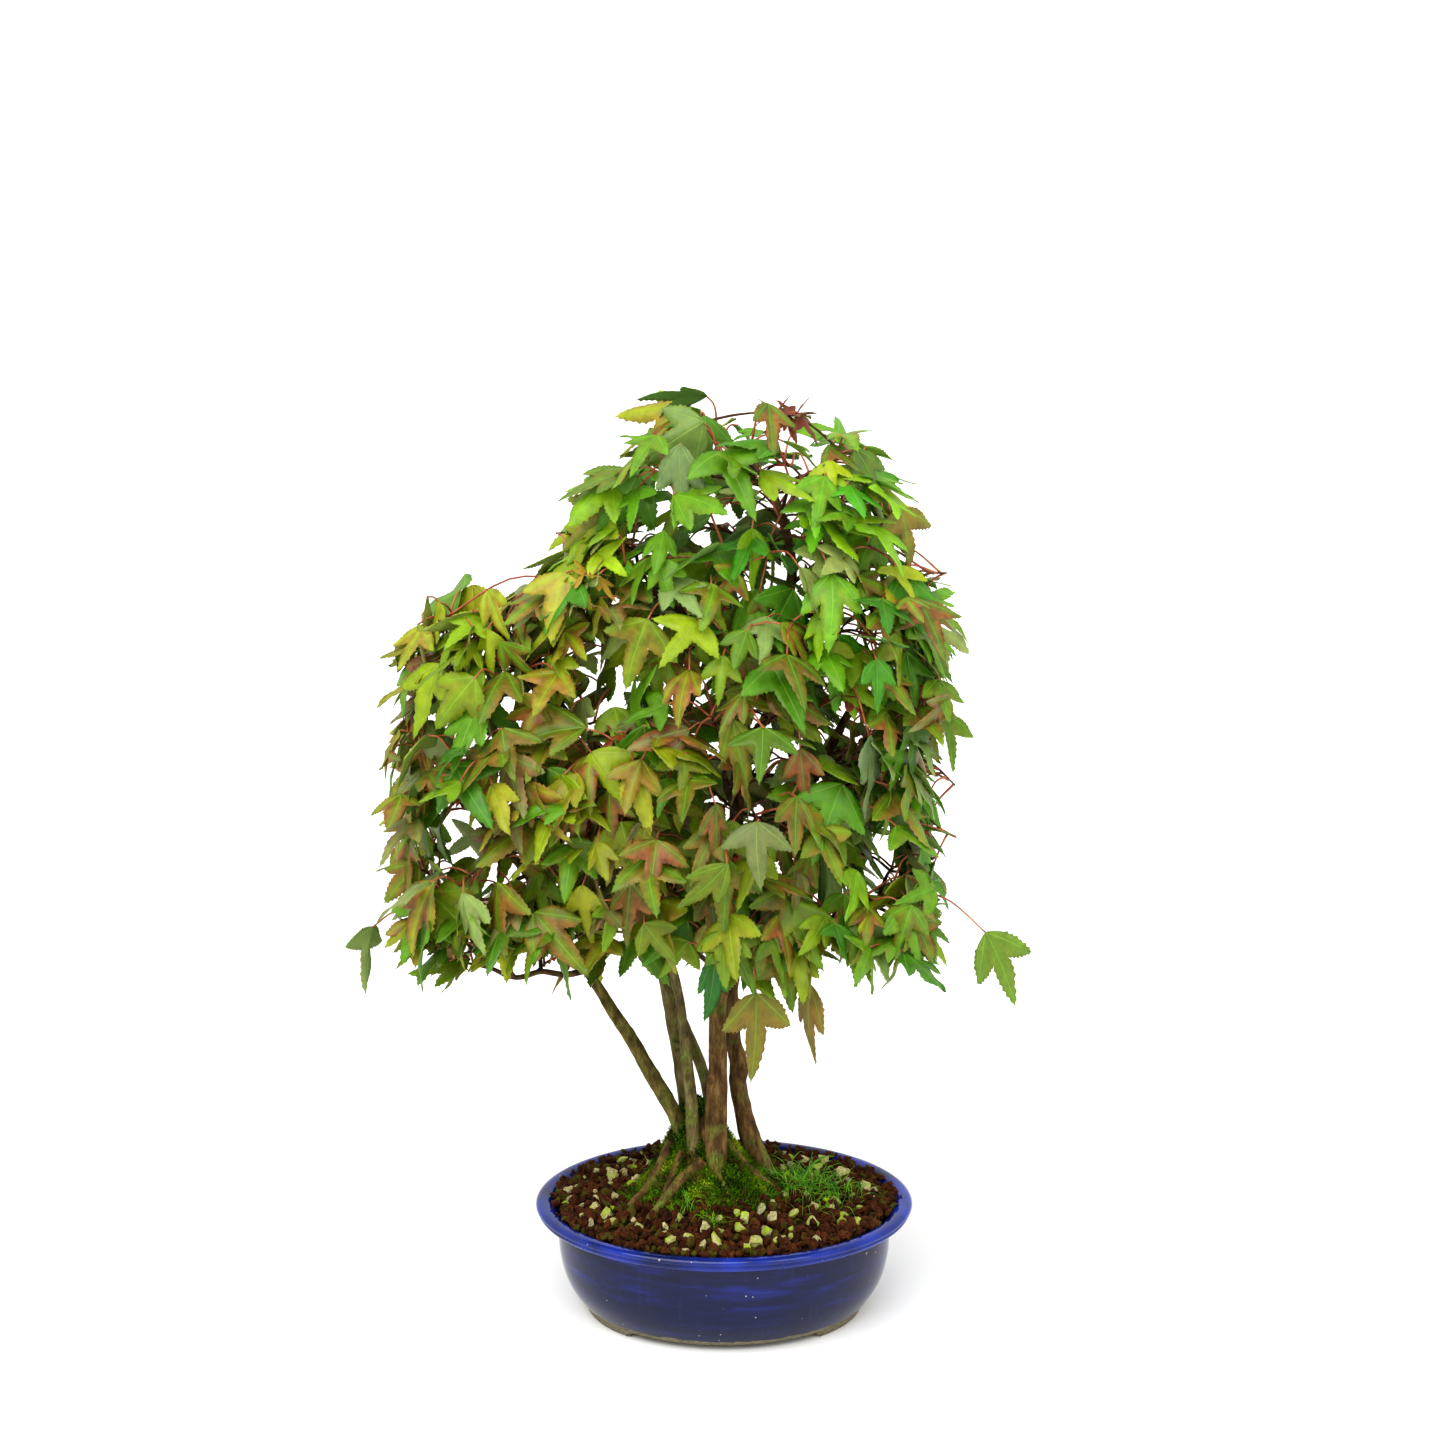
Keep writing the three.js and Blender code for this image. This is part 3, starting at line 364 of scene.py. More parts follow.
def maple_bark(name, dark, middle, pale, moss_top, moss_share):
    """Trident maple bark: thin plates that lift and flake, pale over darker brown, with patches of moss that
    thin out up to `moss_top` millimetres."""
    m = new_material(name)
    place = add(m, "TexCoord").outputs["Object"]
    height = add(m, "SeparateXYZ", {0: place}).outputs["Z"]
    # plates about 5 mm wide and three times as high
    squeezed = add(m, "Mapping", {"Vector": place, "Scale": (1, 1, 0.35)}).outputs[0]
    plates = add(m, "TexNoise", {
        "Vector": squeezed, "Scale": each(5), "Detail": 6, "Roughness": 0.65,
    }).outputs[0]
    bark = add(m, "ValToRGB", {0: plates}, stops=[(0.32, dark), (0.68, pale), (0.5, middle)]).outputs[0]
    fibre = add(m, "TexNoise", {"Vector": squeezed, "Scale": each(1.1), "Detail": 3}).outputs[0]
    fine = add(m, "MapRange", {0: fibre, 3: 0.72, 4: 1.25}).outputs[0]
    shaded = add(m, "VectorMath", {0: bark, "Scale": fine}, operation="SCALE").outputs[0]
    patch = add(m, "TexNoise", {"Vector": place, "Scale": each(11), "Detail": 4}).outputs[0]
    # the moss is thickest from 90 mm down, where the bark meets the soil's mound
    reach = add(m, "MapRange", {0: height, 1: moss_top * MM, 2: 90 * MM, 3: 0.0, 4: moss_share}).outputs[0]
    damp = add(m, "Math", {0: patch, 1: reach}, operation="ADD").outputs[0]
    mossy = add(m, "MapRange", {0: damp, 1: 0.58, 2: 0.88}).outputs[0]
    moss = add(m, "ValToRGB", {0: fibre}, stops=[(0.3, "36471A"), (0.7, "7D8F35")]).outputs[0]
    colour = add(m, "Mix", {0: mossy, 6: shaded, 7: moss}, data_type="RGBA").outputs[2]
    bump = add(m, "Bump", {"Height": plates, "Strength": 0.7, "Distance": 0.9 * MM}).outputs[0]
    return show(m, add(m, "BsdfPrincipled", {
        "Base Color": colour, "Roughness": 0.85, "Specular IOR Level": 0.2, "Normal": bump,
    }))


def maple_leaf():
    """Living maple leaf: a waxy upper side with pale sunk veins, a duller grey-green underside, and light
    that glows through the blade. The blade attribute holds how far along a main vein a point is, as a share
    of the vein, how far from it, as a share of the blade's length, and which side it is on."""
    m = new_material("trident_maple_leaf")
    tint = add(m, "Attribute", attribute_name="tint").outputs
    blade = add(m, "SeparateXYZ", {0: add(m, "Attribute", attribute_name="blade").outputs["Vector"]}).outputs
    along, across, back = blade["X"], blade["Y"], blade["Z"]
    place = add(m, "TexCoord").outputs["Object"]
    # the main vein, 1 mm wide at the foot and finer at the tip
    width = add(m, "MapRange", {0: along, 3: 0.012, 4: 0.0035}).outputs[0]
    off = add(m, "Math", {0: across, 1: width}, operation="DIVIDE").outputs[0]
    main_vein = add(m, "MapRange", {0: off, 1: 0.6, 2: 1.6, 3: 1.0, 4: 0.0}).outputs[0]
    # side veins about 8 mm apart, leaning towards the tip
    lean = add(m, "Math", {0: across, 1: -0.9, 2: along}, operation="MULTIPLY_ADD").outputs[0]
    steps = add(m, "Math", {0: lean, 1: 11.0}, operation="MULTIPLY").outputs[0]
    rows = add(m, "Math", {0: steps, 1: 1.0}, operation="PINGPONG").outputs[0]
    side_vein = add(m, "MapRange", {0: rows, 1: 0.0, 2: 0.16, 3: 0.3, 4: 0.0}).outputs[0]
    vein = add(m, "Math", {0: main_vein, 1: side_vein}, operation="MAXIMUM").outputs[0]
    mottle = add(m, "TexNoise", {"Vector": place, "Scale": each(7), "Detail": 4, "Roughness": 0.6}).outputs[0]
    mottled = add(m, "MapRange", {0: mottle, 1: 0.25, 2: 0.75, 3: 0.72, 4: 1.22}).outputs[0]
    green = add(m, "VectorMath", {0: tint["Color"], "Scale": mottled}, operation="SCALE").outputs[0]
    # bronze spreads from the edge towards the veins
    bronze = add(m, "ValToRGB", {0: mottle}, stops=[(0.34, "7C3A28"), (0.68, "BC6C3C")]).outputs[0]
    outer = add(m, "MapRange", {0: across, 1: 0.0, 2: 0.11, 3: 0.25, 4: 1.0}).outputs[0]
    spread = add(m, "Math", {0: outer, 1: tint["Alpha"]}, operation="MULTIPLY").outputs[0]
    flesh = add(m, "Mix", {0: spread, 6: green, 7: bronze}, data_type="RGBA").outputs[2]
    pale = add(m, "Mix", {0: 0.5, 6: green, 7: srgb("BBCB58")}, data_type="RGBA").outputs[2]
    vein_share = add(m, "Math", {0: vein, 1: 0.66}, operation="MULTIPLY").outputs[0]
    veined = add(m, "Mix", {0: vein_share, 6: flesh, 7: pale}, data_type="RGBA").outputs[2]
    dull = add(m, "Mix", {0: 0.42, 6: veined, 7: srgb("93A37C")}, data_type="RGBA").outputs[2]
    colour = add(m, "Mix", {0: back, 6: veined, 7: dull}, data_type="RGBA").outputs[2]
    sheen = add(m, "MapRange", {0: mottle, 1: 0.3, 2: 0.7, 3: 0.28, 4: 0.5}).outputs[0]
    rough = add(m, "Mix", {0: back, 2: sheen, 3: 0.70}).outputs[0]
    between = add(m, "Math", {0: 1.0, 1: vein}, operation="SUBTRACT").outputs[0]
    sunk = add(m, "Math", {0: mottle, 1: 0.25, 2: between}, operation="MULTIPLY_ADD").outputs[0]
    bump = add(m, "Bump", {"Height": sunk, "Strength": 0.5, "Distance": 0.4 * MM}).outputs[0]
    skin = add(m, "BsdfPrincipled", {
        "Base Color": colour, "Roughness": rough, "Specular IOR Level": 0.62, "IOR": 1.42, "Normal": bump,
    })
    warm = add(m, "Mix", {0: 0.45, 6: colour, 7: srgb("B4DC34")}, data_type="RGBA").outputs[2]
    glow = add(m, "BsdfTranslucent", {"Color": warm})
    return show(m, add(m, "MixShader", {0: 0.35, 1: skin.outputs[0], 2: glow.outputs[0]}))


def soft_stem(name, dark, pale, rough):
    """Green or red young growth, such as leaf stalks and grass: smooth, a little waxy, streaked along."""
    m = new_material(name)
    place = add(m, "TexCoord").outputs["Object"]
    streak = add(m, "TexNoise", {"Vector": place, "Scale": each(9), "Detail": 3}).outputs[0]
    colour = add(m, "ValToRGB", {0: streak}, stops=[(0.35, dark), (0.65, pale)]).outputs[0]
    fine = add(m, "TexNoise", {"Vector": place, "Scale": each(1.2), "Detail": 2}).outputs[0]
    bump = add(m, "Bump", {"Height": fine, "Strength": 0.2, "Distance": 0.2 * MM}).outputs[0]
    return show(m, add(m, "BsdfPrincipled", {
        "Base Color": colour, "Roughness": rough, "IOR": 1.42, "Normal": bump,
    }))


def screen_plastic():
    """Moulded polypropylene mesh: near-black green, satin, with fine clay dust in its grain."""
    m = new_material("moulded_screen_plastic")
    place = add(m, "TexCoord").outputs["Object"]
    dust = add(m, "TexNoise", {"Vector": place, "Scale": each(2), "Detail": 4}).outputs[0]
    colour = add(m, "ValToRGB", {0: dust}, stops=[(0.4, "1E221D"), (0.8, "5B4A36")]).outputs[0]
    bump = add(m, "Bump", {"Height": dust, "Strength": 0.2, "Distance": 0.2 * MM}).outputs[0]
    return show(m, add(m, "BsdfPrincipled", {"Base Color": colour, "Roughness": 0.5, "Normal": bump}))


def anodised_wire():
    """Brown anodised aluminium wire: a satin metal with faint drawing lines."""
    m = new_material("brown_anodised_wire")
    place = add(m, "TexCoord").outputs["Object"]
    lines = add(m, "TexNoise", {"Vector": place, "Scale": each(0.8), "Detail": 2}).outputs[0]
    colour = add(m, "ValToRGB", {0: lines}, stops=[(0.3, "7A4E2C"), (0.7, "A8754A")]).outputs[0]
    rough = add(m, "MapRange", {0: lines, 3: 0.28, 4: 0.45}).outputs[0]
    return show(m, add(m, "BsdfPrincipled", {"Base Color": colour, "Metallic": 1.0, "Roughness": rough}))


def pale_floor():
    """A pale matt studio floor."""
    m = new_material("pale_matt_floor")
    place = add(m, "TexCoord").outputs["Object"]
    mottle = add(m, "TexNoise", {"Vector": place, "Scale": each(400), "Detail": 2}).outputs[0]
    colour = add(m, "ValToRGB", {0: mottle}, stops=[(0.3, "F1F1F0"), (0.7, "F6F6F5")]).outputs[0]
    return show(m, add(m, "BsdfPrincipled", {"Base Color": colour, "Roughness": 0.9}))


GLAZE = cobalt_glaze()
AKADAMA = grain_clay("akadama_fired_clay", "180C05", "66391C", "4E5C12")
PUMICE = grain_clay("pale_pumice", "5A4A28", "F2E6B8", "93B012")
# the soil bed's near-black colours are partly painted shade for the gaps between the grains
SOIL_CORE = grain_clay("damp_soil_painted_gap_shade", "160E08", "332014", "3A3A18")
MOSS_TIPS = cushion_moss()
BARK_BROWN = maple_bark("trident_maple_bark", "302010", "5E4626", "866A40", 150, 0.16)
BARK_OLIVE = maple_bark("sunned_maple_bark", "30280F", "5C5026", "80763E", 200, 0.16)
BARK_GREY = maple_bark("weathered_maple_bark", "39321C", "645936", "867A52", 230, 0.2)
BARK_ROOT = maple_bark("mossy_root_bark", "2A1C10", "563E22", "866638", 130, 0.16)
TWIG = maple_bark("young_twig_bark", "2E2018", "4B3424", "6E5038", 60, 0)
LEAF = maple_leaf()
STALK = soft_stem("red_leaf_stalk", "8E3B2A", "B9784A", 0.45)
GRASS = soft_stem("grass_blade", "267808", "84C01C", 0.55)
SCREEN = screen_plastic()
WIRE = anodised_wire()

# ---------------------------------------------------------------- making meshes


class Shape:
    """Points in millimetres, faces, and for each face its finish; each point has a tint, and each corner of a
    face its place on a leaf's blade."""

    def __init__(self):
        self.points, self.tints, self.blades = [], [], []
        self.faces, self.finishes = [], []
        self.count = 0

    def add(self, points, faces, finish=0, tint=(1, 1, 1, 1), blade=None):
        points = np.asarray(points, float)
        self.points.append(points)
        self.tints.append(np.broadcast_to(np.asarray(tint, float), (len(points), 4)))
        self.faces += [tuple(i + self.count for i in face) for face in faces]
        self.finishes += [finish] * len(faces)
        corners = sum(len(face) for face in faces)
        self.blades.append(np.zeros((corners, 3)) if blade is None else blade)
        self.count += len(points)


def piece(name, shape, materials, replaces=(), smooth=True):
    """Makes one piece of the object from a shape, riding on the part's only body."""
    mesh = bpy.data.meshes.new(name)
    mesh.from_pydata((np.concatenate(shape.points) * MM + POT_MIDDLE).tolist(), [], shape.faces)
    mesh.polygons.foreach_set("material_index", shape.finishes)
    mesh.polygons.foreach_set("use_smooth", [smooth] * len(shape.faces))
    tints = mesh.attributes.new("tint", "FLOAT_COLOR", "POINT")
    tints.data.foreach_set("color", np.concatenate(shape.tints).ravel())
    blades = mesh.attributes.new("blade", "FLOAT_VECTOR", "CORNER")
    blades.data.foreach_set("vector", np.concatenate(shape.blades).ravel())
    mesh.update()
    made = bpy.data.objects.new(name, mesh)
    bpy.context.scene.collection.objects.link(made)
    for material in materials:
        mesh.materials.append(material)
    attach(made, "root")
    if replaces:
        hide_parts(*replaces)
    return made


def unit(vector):
    return vector / math.sqrt(vector @ vector)


def unit_rows(rows):
    return rows / np.linalg.norm(rows, axis=-1, keepdims=True)


def noise(points, size, seed=0):
    """Smooth values from -1 to 1 that change over `size` millimetres, one size or one for each axis."""
    place = np.asarray(points, float) / size + seed * 17.3
    cell = np.floor(place)
    part = place - cell
    part = part * part * (3 - 2 * part)
    total = 0
    for corner in np.ndindex(2, 2, 2):
        value = np.sin((cell + corner) @ np.array([127.1, 311.7, 74.7])) * 43758.5453
        weight = np.prod(np.where(np.array(corner) == 1, part, 1 - part), axis=-1)
        total = total + weight * (value - np.floor(value))
    return 2 * total - 1


def curve_through(points, per_span):
    """A smooth line through points, the same as the solids' limbs, with `per_span` steps a span."""
    p = np.asarray(points, float)
    padded = np.vstack([2 * p[0] - p[1], p, 2 * p[-1] - p[-2]])
    out = []
    for i in range(len(p) - 1):
        a, b, c, d = padded[i:i + 4]
        t = np.linspace(0, 1, per_span, endpoint=False)[:, None]
        bow = (a - 2.5 * b + 2 * c - d / 2) * t**2
        out.append(b + (c - a) / 2 * t + bow + (1.5 * (b - c) + (d - a) / 2) * t**3)
    return np.vstack([*out, p[-1:]])


def grid_faces(rings, sides, closed=True):
    """Quads between rings of points, and one flat face on each end if closed."""
    faces = []
    for i in range(rings - 1):
        for j in range(sides):
            k = (j + 1) % sides
            faces.append((i * sides + j, i * sides + k, (i + 1) * sides + k, (i + 1) * sides + j))
    if closed:
        faces.append(tuple(reversed(range(sides))))
        faces.append(tuple((rings - 1) * sides + j for j in range(sides)))
    return faces


def tube(points, sides, per_span, swell=None):
    """A round limb through [x, y, z, radius] points. swell(points, radii) gives what to add to the radii."""
    line = curve_through(points, per_span)
    middles, radii = line[:, :3], line[:, 3]
    tangents = unit_rows(np.gradient(middles, axis=0))
    normal = np.array([1.0, 0, 0]) if abs(tangents[0, 0]) < 0.8 else np.array([0, 1.0, 0])
    normals = []
    for tangent in tangents:
        normal = unit(normal - tangent * (normal @ tangent))
        normals.append(normal)
    normals = np.array(normals)
    angles = np.linspace(0, 2 * np.pi, sides, endpoint=False)[None, :, None]
    outward = np.cos(angles) * normals[:, None] + np.sin(angles) * np.cross(tangents, normals)[:, None]
    rings = middles[:, None] + outward * radii[:, None, None]
    if swell is not None:
        rings = rings + outward * swell(rings, radii[:, None])[..., None]
    return rings.reshape(-1, 3), grid_faces(len(line), sides)


# ---------------------------------------------------------------- the pot


FOOT_RADIUS = 82.5
# The foot ring is cut away by wide arches front and back and by notches at the ends: half the width of each
# at its foot, how far its ends slope, and its height.
ARCH = dict(half_width=57.5, slope=5, height=4.6)
NOTCH = dict(half_width=10.5, slope=4, height=3.2)


def cut_height(off, cut):
    """How high an arch or a notch stands at a distance off its middle."""
    share = np.clip((cut["half_width"] - off) / cut["slope"], 0, 1)
    return cut["height"] * share * share * (3 - 2 * share)


def foot_lift(angle):
    """How far the foot ring is cut away at an angle round the pot."""
    x = abs(FOOT_RADIUS * np.cos(angle))
    y = abs(FOOT_RADIUS * POT_OVAL * np.sin(angle))
    return max(cut_height(x, ARCH), cut_height(y, NOTCH))


# The turned wall as (radius, z): the floor's underside, the foot ring, the outside, the lip and the inside.
POT_PROFILE = [
    (0, 5.5), (40, 5.5), (70, 5.5), (75, 5.4), (76.2, 4.4), (76.8, 2.2), (77.6, 0.5), (78.6, 0), (82.5, 0),
    (86.2, 0), (87.4, 0.5), (88.3, 2.4), (89.0, 4.2), (90.2, 5.8), (92.4, 8.4), (95.4, 12.6), (98.2, 17.2),
    (100.6, 22.4), (102.4, 28), (103.6, 34), (104.4, 40), (104.8, 46), (104.9, 52), (104.6, 56.4),
    (103.9, 59.6), (103.9, 61), (105.2, 62), (108, 62.5), (111.6, 62.7), (114.2, 63.2), (116, 64),
    (117.1, 65), (117.8, 66.1), (117.7, 66.8), (117.1, 67.3), (117.4, 67.8), (118.4, 68.2), (119, 69),
    (119, 69.8), (118.4, 70.8), (117.2, 71.6), (115.4, 72), (113, 72), (110.8, 71.6), (109, 70.8),
    (107.4, 69.4), (105.4, 67), (103.2, 64), (101.2, 60.6), (99.8, 56), (98.9, 50), (98.4, 44), (97.6, 36),
    (95.8, 28), (91, 19), (84, 13), (79, 12), (40, 12), (0, 12),
]
POT_SIDES = 288
DRAIN_HOLES = dict(x=(-55, 55), radius=7, sides=48)


def turned_pot():
    """The pot as a turned form with a thrown wobble, closed at both ends of its profile."""
    angles = np.linspace(0, 2 * np.pi, POT_SIDES, endpoint=False)
    lifts = np.array([foot_lift(a) for a in angles])
    rings = []
    for radius, z in POT_PROFILE[1:-1]:
        under = z < 5 and radius < 92  # the foot ring
        heights = np.maximum(z, lifts) if under else np.full(POT_SIDES, float(z))
        ring = np.stack([radius * np.cos(angles), radius * POT_OVAL * np.sin(angles), heights], axis=1)
        wobble = noise(ring, (30, 30, 9), 5) * 0.22 if 12 < z < 62 and radius > 95 else 0
        ring[:, :2] *= (1 + np.broadcast_to(wobble, POT_SIDES) / 105)[:, None]
        rings.append(ring)
    count = len(rings)
    faces = grid_faces(count, POT_SIDES, closed=False)
    first, last = count * POT_SIDES, count * POT_SIDES + 1
    for j in range(POT_SIDES):
        k = (j + 1) % POT_SIDES
        faces.append((first, k, j))
        faces.append((last, (count - 1) * POT_SIDES + j, (count - 1) * POT_SIDES + k))
    shape = Shape()
    middles = [[0, 0, POT_PROFILE[0][1]], [0, 0, POT_PROFILE[-1][1]]]
    shape.add(np.vstack([*rings, middles]), faces)
    return shape


def bore_drain_hole(pot, x):
    """Cuts one round hole through the floor of the pot."""
    sides, radius = DRAIN_HOLES["sides"], DRAIN_HOLES["radius"]
    turns = np.linspace(0, 2 * np.pi, sides, endpoint=False)
    circle = np.stack([x + radius * np.cos(turns), radius * np.sin(turns)], axis=1)
    ends = [np.column_stack([circle, np.full(sides, z)]) for z in (-4.0, 20.0)]
    drill = Shape()
    drill.add(np.vstack(ends), grid_faces(2, sides))
    cutter = piece("drill", drill, [GLAZE])
    bore = pot.modifiers.new("drain hole", "BOOLEAN")
    bore.operation, bore.object, bore.solver = "DIFFERENCE", cutter, "EXACT"
    bpy.context.view_layer.update()
    bored = bpy.data.meshes.new_from_object(pot.evaluated_get(bpy.context.evaluated_depsgraph_get()))
    pot.modifiers.clear()
    pot.data = bored
    bpy.data.objects.remove(cutter)


def make_pot():
    """The turned pot with its drain holes."""
    pot = piece("oval_pot_glazed", turned_pot(), [GLAZE], ["oval_pot"])
    for x in DRAIN_HOLES["x"]:
        bore_drain_hole(pot, x)


# ---------------------------------------------------------------- soil, moss and grass


def bell(x, y, at):
    return np.exp(-(((x - at["x"]) / at["spread"][0]) ** 2) - ((y - at["y"]) / at["spread"][1]) ** 2)


def soil_height(x, y):
    share = np.minimum(1, np.hypot(x, y / POT_OVAL) / SOIL_RADIUS)
    return SOIL_EDGE + (1 - share**4) * (SOIL_RISE + MOUND["height"] * bell(x, y, MOUND))


def crown_height(x, y):
    rise = CROWN["height"] * bell(x, y, CROWN) + CLIMB["height"] * bell(x, y, CLIMB)
    return soil_height(x, y) + rise - 3


def ground_height(x, y):
    return np.maximum(soil_height(x, y), crown_height(x, y))


def moss_depth(x, y):
    """Thickness of the moss over the ground; it thins out in a ragged edge and is negative beyond it."""
    share = np.hypot(x - MOSS["x"], (y - MOSS["y"]) / MOSS["oval"]) / MOSS["radius"]
    flat = np.stack([x, y, np.zeros_like(x)], axis=-1)
    return MOSS["thickness"] + 1.4 * noise(flat, 14, 3) + 0.8 * noise(flat, 6, 4) - 5.6 * share**3


def bed(radii, sides, at, oval, skirt, height):
    """A round or oval bed: a skirt of (radius, z) rings from the bottom up, then rings of the given radii
    that follow a height."""
    angles = np.linspace(0, 2 * np.pi, sides, endpoint=False)
    rings = []
    for radius, z in [*skirt, *((radius, None) for radius in radii)]:
        x, y = at[0] + radius * np.cos(angles), at[1] + radius * oval * np.sin(angles)
        rings.append(np.stack([x, y, height(x, y) if z is None else np.full(sides, float(z))], axis=1))
    return np.vstack(rings), grid_faces(len(rings), sides)


def grain_forms(count):
    """Some broken, rounded grains about one unit across to copy from."""
    forms = []
    for i in range(count):
        made = bmesh.new()
        bmesh.ops.create_icosphere(made, subdivisions=2, radius=0.5)
        points = np.array([v.co for v in made.verts])
        faces = [tuple(v.index for v in f.verts) for f in made.faces]
        made.free()
        flats = unit_rows(np.random.default_rng(100 + i).normal(size=(9, 3)))
        for flat in flats:  # each flat is a break
            over = points @ flat - 0.26
            points = points - np.outer(np.clip(over, 0, None), flat)
        points *= (1 + 0.3 * noise(points, 0.26, 20 + i))[:, None] * 1.14
        forms.append((points, faces))
    return forms


def turn_matrix(random):
    """A random rotation."""
    a, b = unit_rows(random.normal(size=(2, 3)))
    b = unit(b - a * (a @ b))
    return np.stack([a, b, np.cross(a, b)])


ROW_SPACING = 0.866  # between the rows of a triangular grid, as a share of its pitch


def scatter(pitch, jitter, reach, random):
    """Places on a loose triangular grid over the pot's oval, up to `reach` from its middle."""
    places = []
    rows = int(reach / (pitch * ROW_SPACING)) + 1
    for row in range(-rows, rows + 1):
        for column in range(-rows - 1, rows + 2):
            x = (column + 0.5 * (row % 2)) * pitch + random.uniform(-jitter, jitter)
            y = row * pitch * ROW_SPACING + random.uniform(-jitter, jitter)
            if math.hypot(x, y / POT_OVAL) < reach:
                places.append((x, y))
    return np.array(places)


GRAIN_FORMS = 8
RIM_GRAINS = 330
LIP_CRUMBS = 16
PUMICE_SHARE = 0.76  # of the places where pumice might lie
# The layers of fired clay: pitch, jitter, how far out, how far above the soil, and the grains' sizes.
GRAIN_LAYERS = [
    (4.9, 1.5, 105.5, 0.0, (4.2, 6.6)), (7.6, 3.2, 103, 1.8, (4.0, 7.6)), (16, 7, 100, 3.2, (5.5, 8.5)),
]


def put_grain(shape, form, x, y, z, size, random, tint):
    points, faces = form
    stretch = size * random.uniform(0.75, 1.3, 3)
    shape.add((points * stretch) @ turn_matrix(random) + np.array([x, y, z]), faces, tint=tint)


def make_soil_core():
    """The dark bed that fills the pot under the grains; its near-black colour is partly painted shade
    in the gaps between them.
    """
    shape = Shape()
    skirt = [(78, 13), (84, 15), (91, 21), (95, 29), (97, 40), (98, 50), (99.5, 58), (101, 62)]
    radii = [102, 96, *range(88, 7, -10)]
    shape.add(*bed(radii, 96, (0, 0), POT_OVAL, skirt, lambda x, y: soil_height(x, y) - 1.6))
    piece("soil_bed_core", shape, [SOIL_CORE], ["soil_bed"])


def make_pumice(forms, random):
    """Pale grains of pumice where no moss grows. Returns where they lie and how large they are."""
    places = scatter(11.5, 5.2, 101, random)
    bare = moss_depth(*places.T) < -0.2
    places = places[bare & (random.random(len(places)) < PUMICE_SHARE)]
    sizes = random.uniform(3.6, 9.8, len(places))
    shape = Shape()
    for (x, y), size, height in zip(places, sizes, soil_height(*places.T)):
        tone = random.uniform(0.65, 1.1) * (np.array([0.62, 0.68, 0.72]) if random.random() < 0.16 else 1)
        tint = (*(tone * np.array([1, 0.97, 0.9])), random.choice([0.1, 0.55, 0.95]))
        form = forms[random.integers(GRAIN_FORMS)]
        put_grain(shape, form, x, y, height + size * 0.14, size, random, tint)
    piece("pumice_grains", shape, [PUMICE], smooth=False)
    return places, sizes


def make_fired_clay(forms, places, sizes, random):
    """Brown grains in layers between the pumice's places, with more against the rim and crumbs on the lip."""
    shape = Shape()
    for pitch, jitter, reach, lift, (small, large) in GRAIN_LAYERS:
        spots = scatter(pitch, jitter, reach, random)
        gap = np.hypot(*(spots[:, None] - places[None]).transpose(2, 0, 1)) - sizes * 0.42
        spots = spots[(moss_depth(*spots.T) < 1.0) & (gap.min(axis=1) > 0)]
        for (x, y), height in zip(spots, soil_height(*spots.T)):
            size = random.uniform(small, large)
            tone = random.uniform(0.4, 1.25)
            tint = (tone * random.uniform(0.95, 1.15), tone, tone * random.uniform(0.85, 1.05),
                    random.choice([0.0, 0.0, 0.0, 0.5]))
            form = forms[random.integers(GRAIN_FORMS)]
            rise = height + lift + random.uniform(-0.8, 0.6)
            put_grain(shape, form, x, y, rise, size, random, tint)
    for _ in range(RIM_GRAINS):  # heaped against the rim, highest at the back
        turn, radius = random.uniform(0, 2 * np.pi), random.uniform(99, 108.5)
        tone = random.uniform(0.4, 1.2)
        rise = 70.9 + (radius - 99) * 0.1 + random.uniform(0, 1.2) + 1.2 * max(0.0, math.sin(turn))
        form, size = forms[random.integers(GRAIN_FORMS)], random.uniform(3.6, 6.2)
        tint = (tone, tone, tone * 0.95, random.choice([0.0, 0.0, 0.5]))
        x, y = radius * math.cos(turn), radius * POT_OVAL * math.sin(turn)
        put_grain(shape, form, x, y, rise, size, random, tint)
    for _ in range(LIP_CRUMBS):
        turn, radius = random.uniform(0, 2 * np.pi), random.uniform(108.5, 112)
        form, size = forms[random.integers(GRAIN_FORMS)], random.uniform(1.4, 3.0)
        x, y = radius * math.cos(turn), radius * POT_OVAL * math.sin(turn)
        put_grain(shape, form, x, y, 72.4, size, random, (0.8, 0.8, 0.8, 0))
    piece("akadama_grains", shape, [AKADAMA], smooth=False)


def make_soil():
    """The soil's bed, with pumice and fired clay over it."""
    make_soil_core()
    random = np.random.default_rng(7)
    forms = grain_forms(GRAIN_FORMS)
    places, sizes = make_pumice(forms, random)
    make_fired_clay(forms, places, sizes, random)


MOSS_TIP_COUNT = 19000


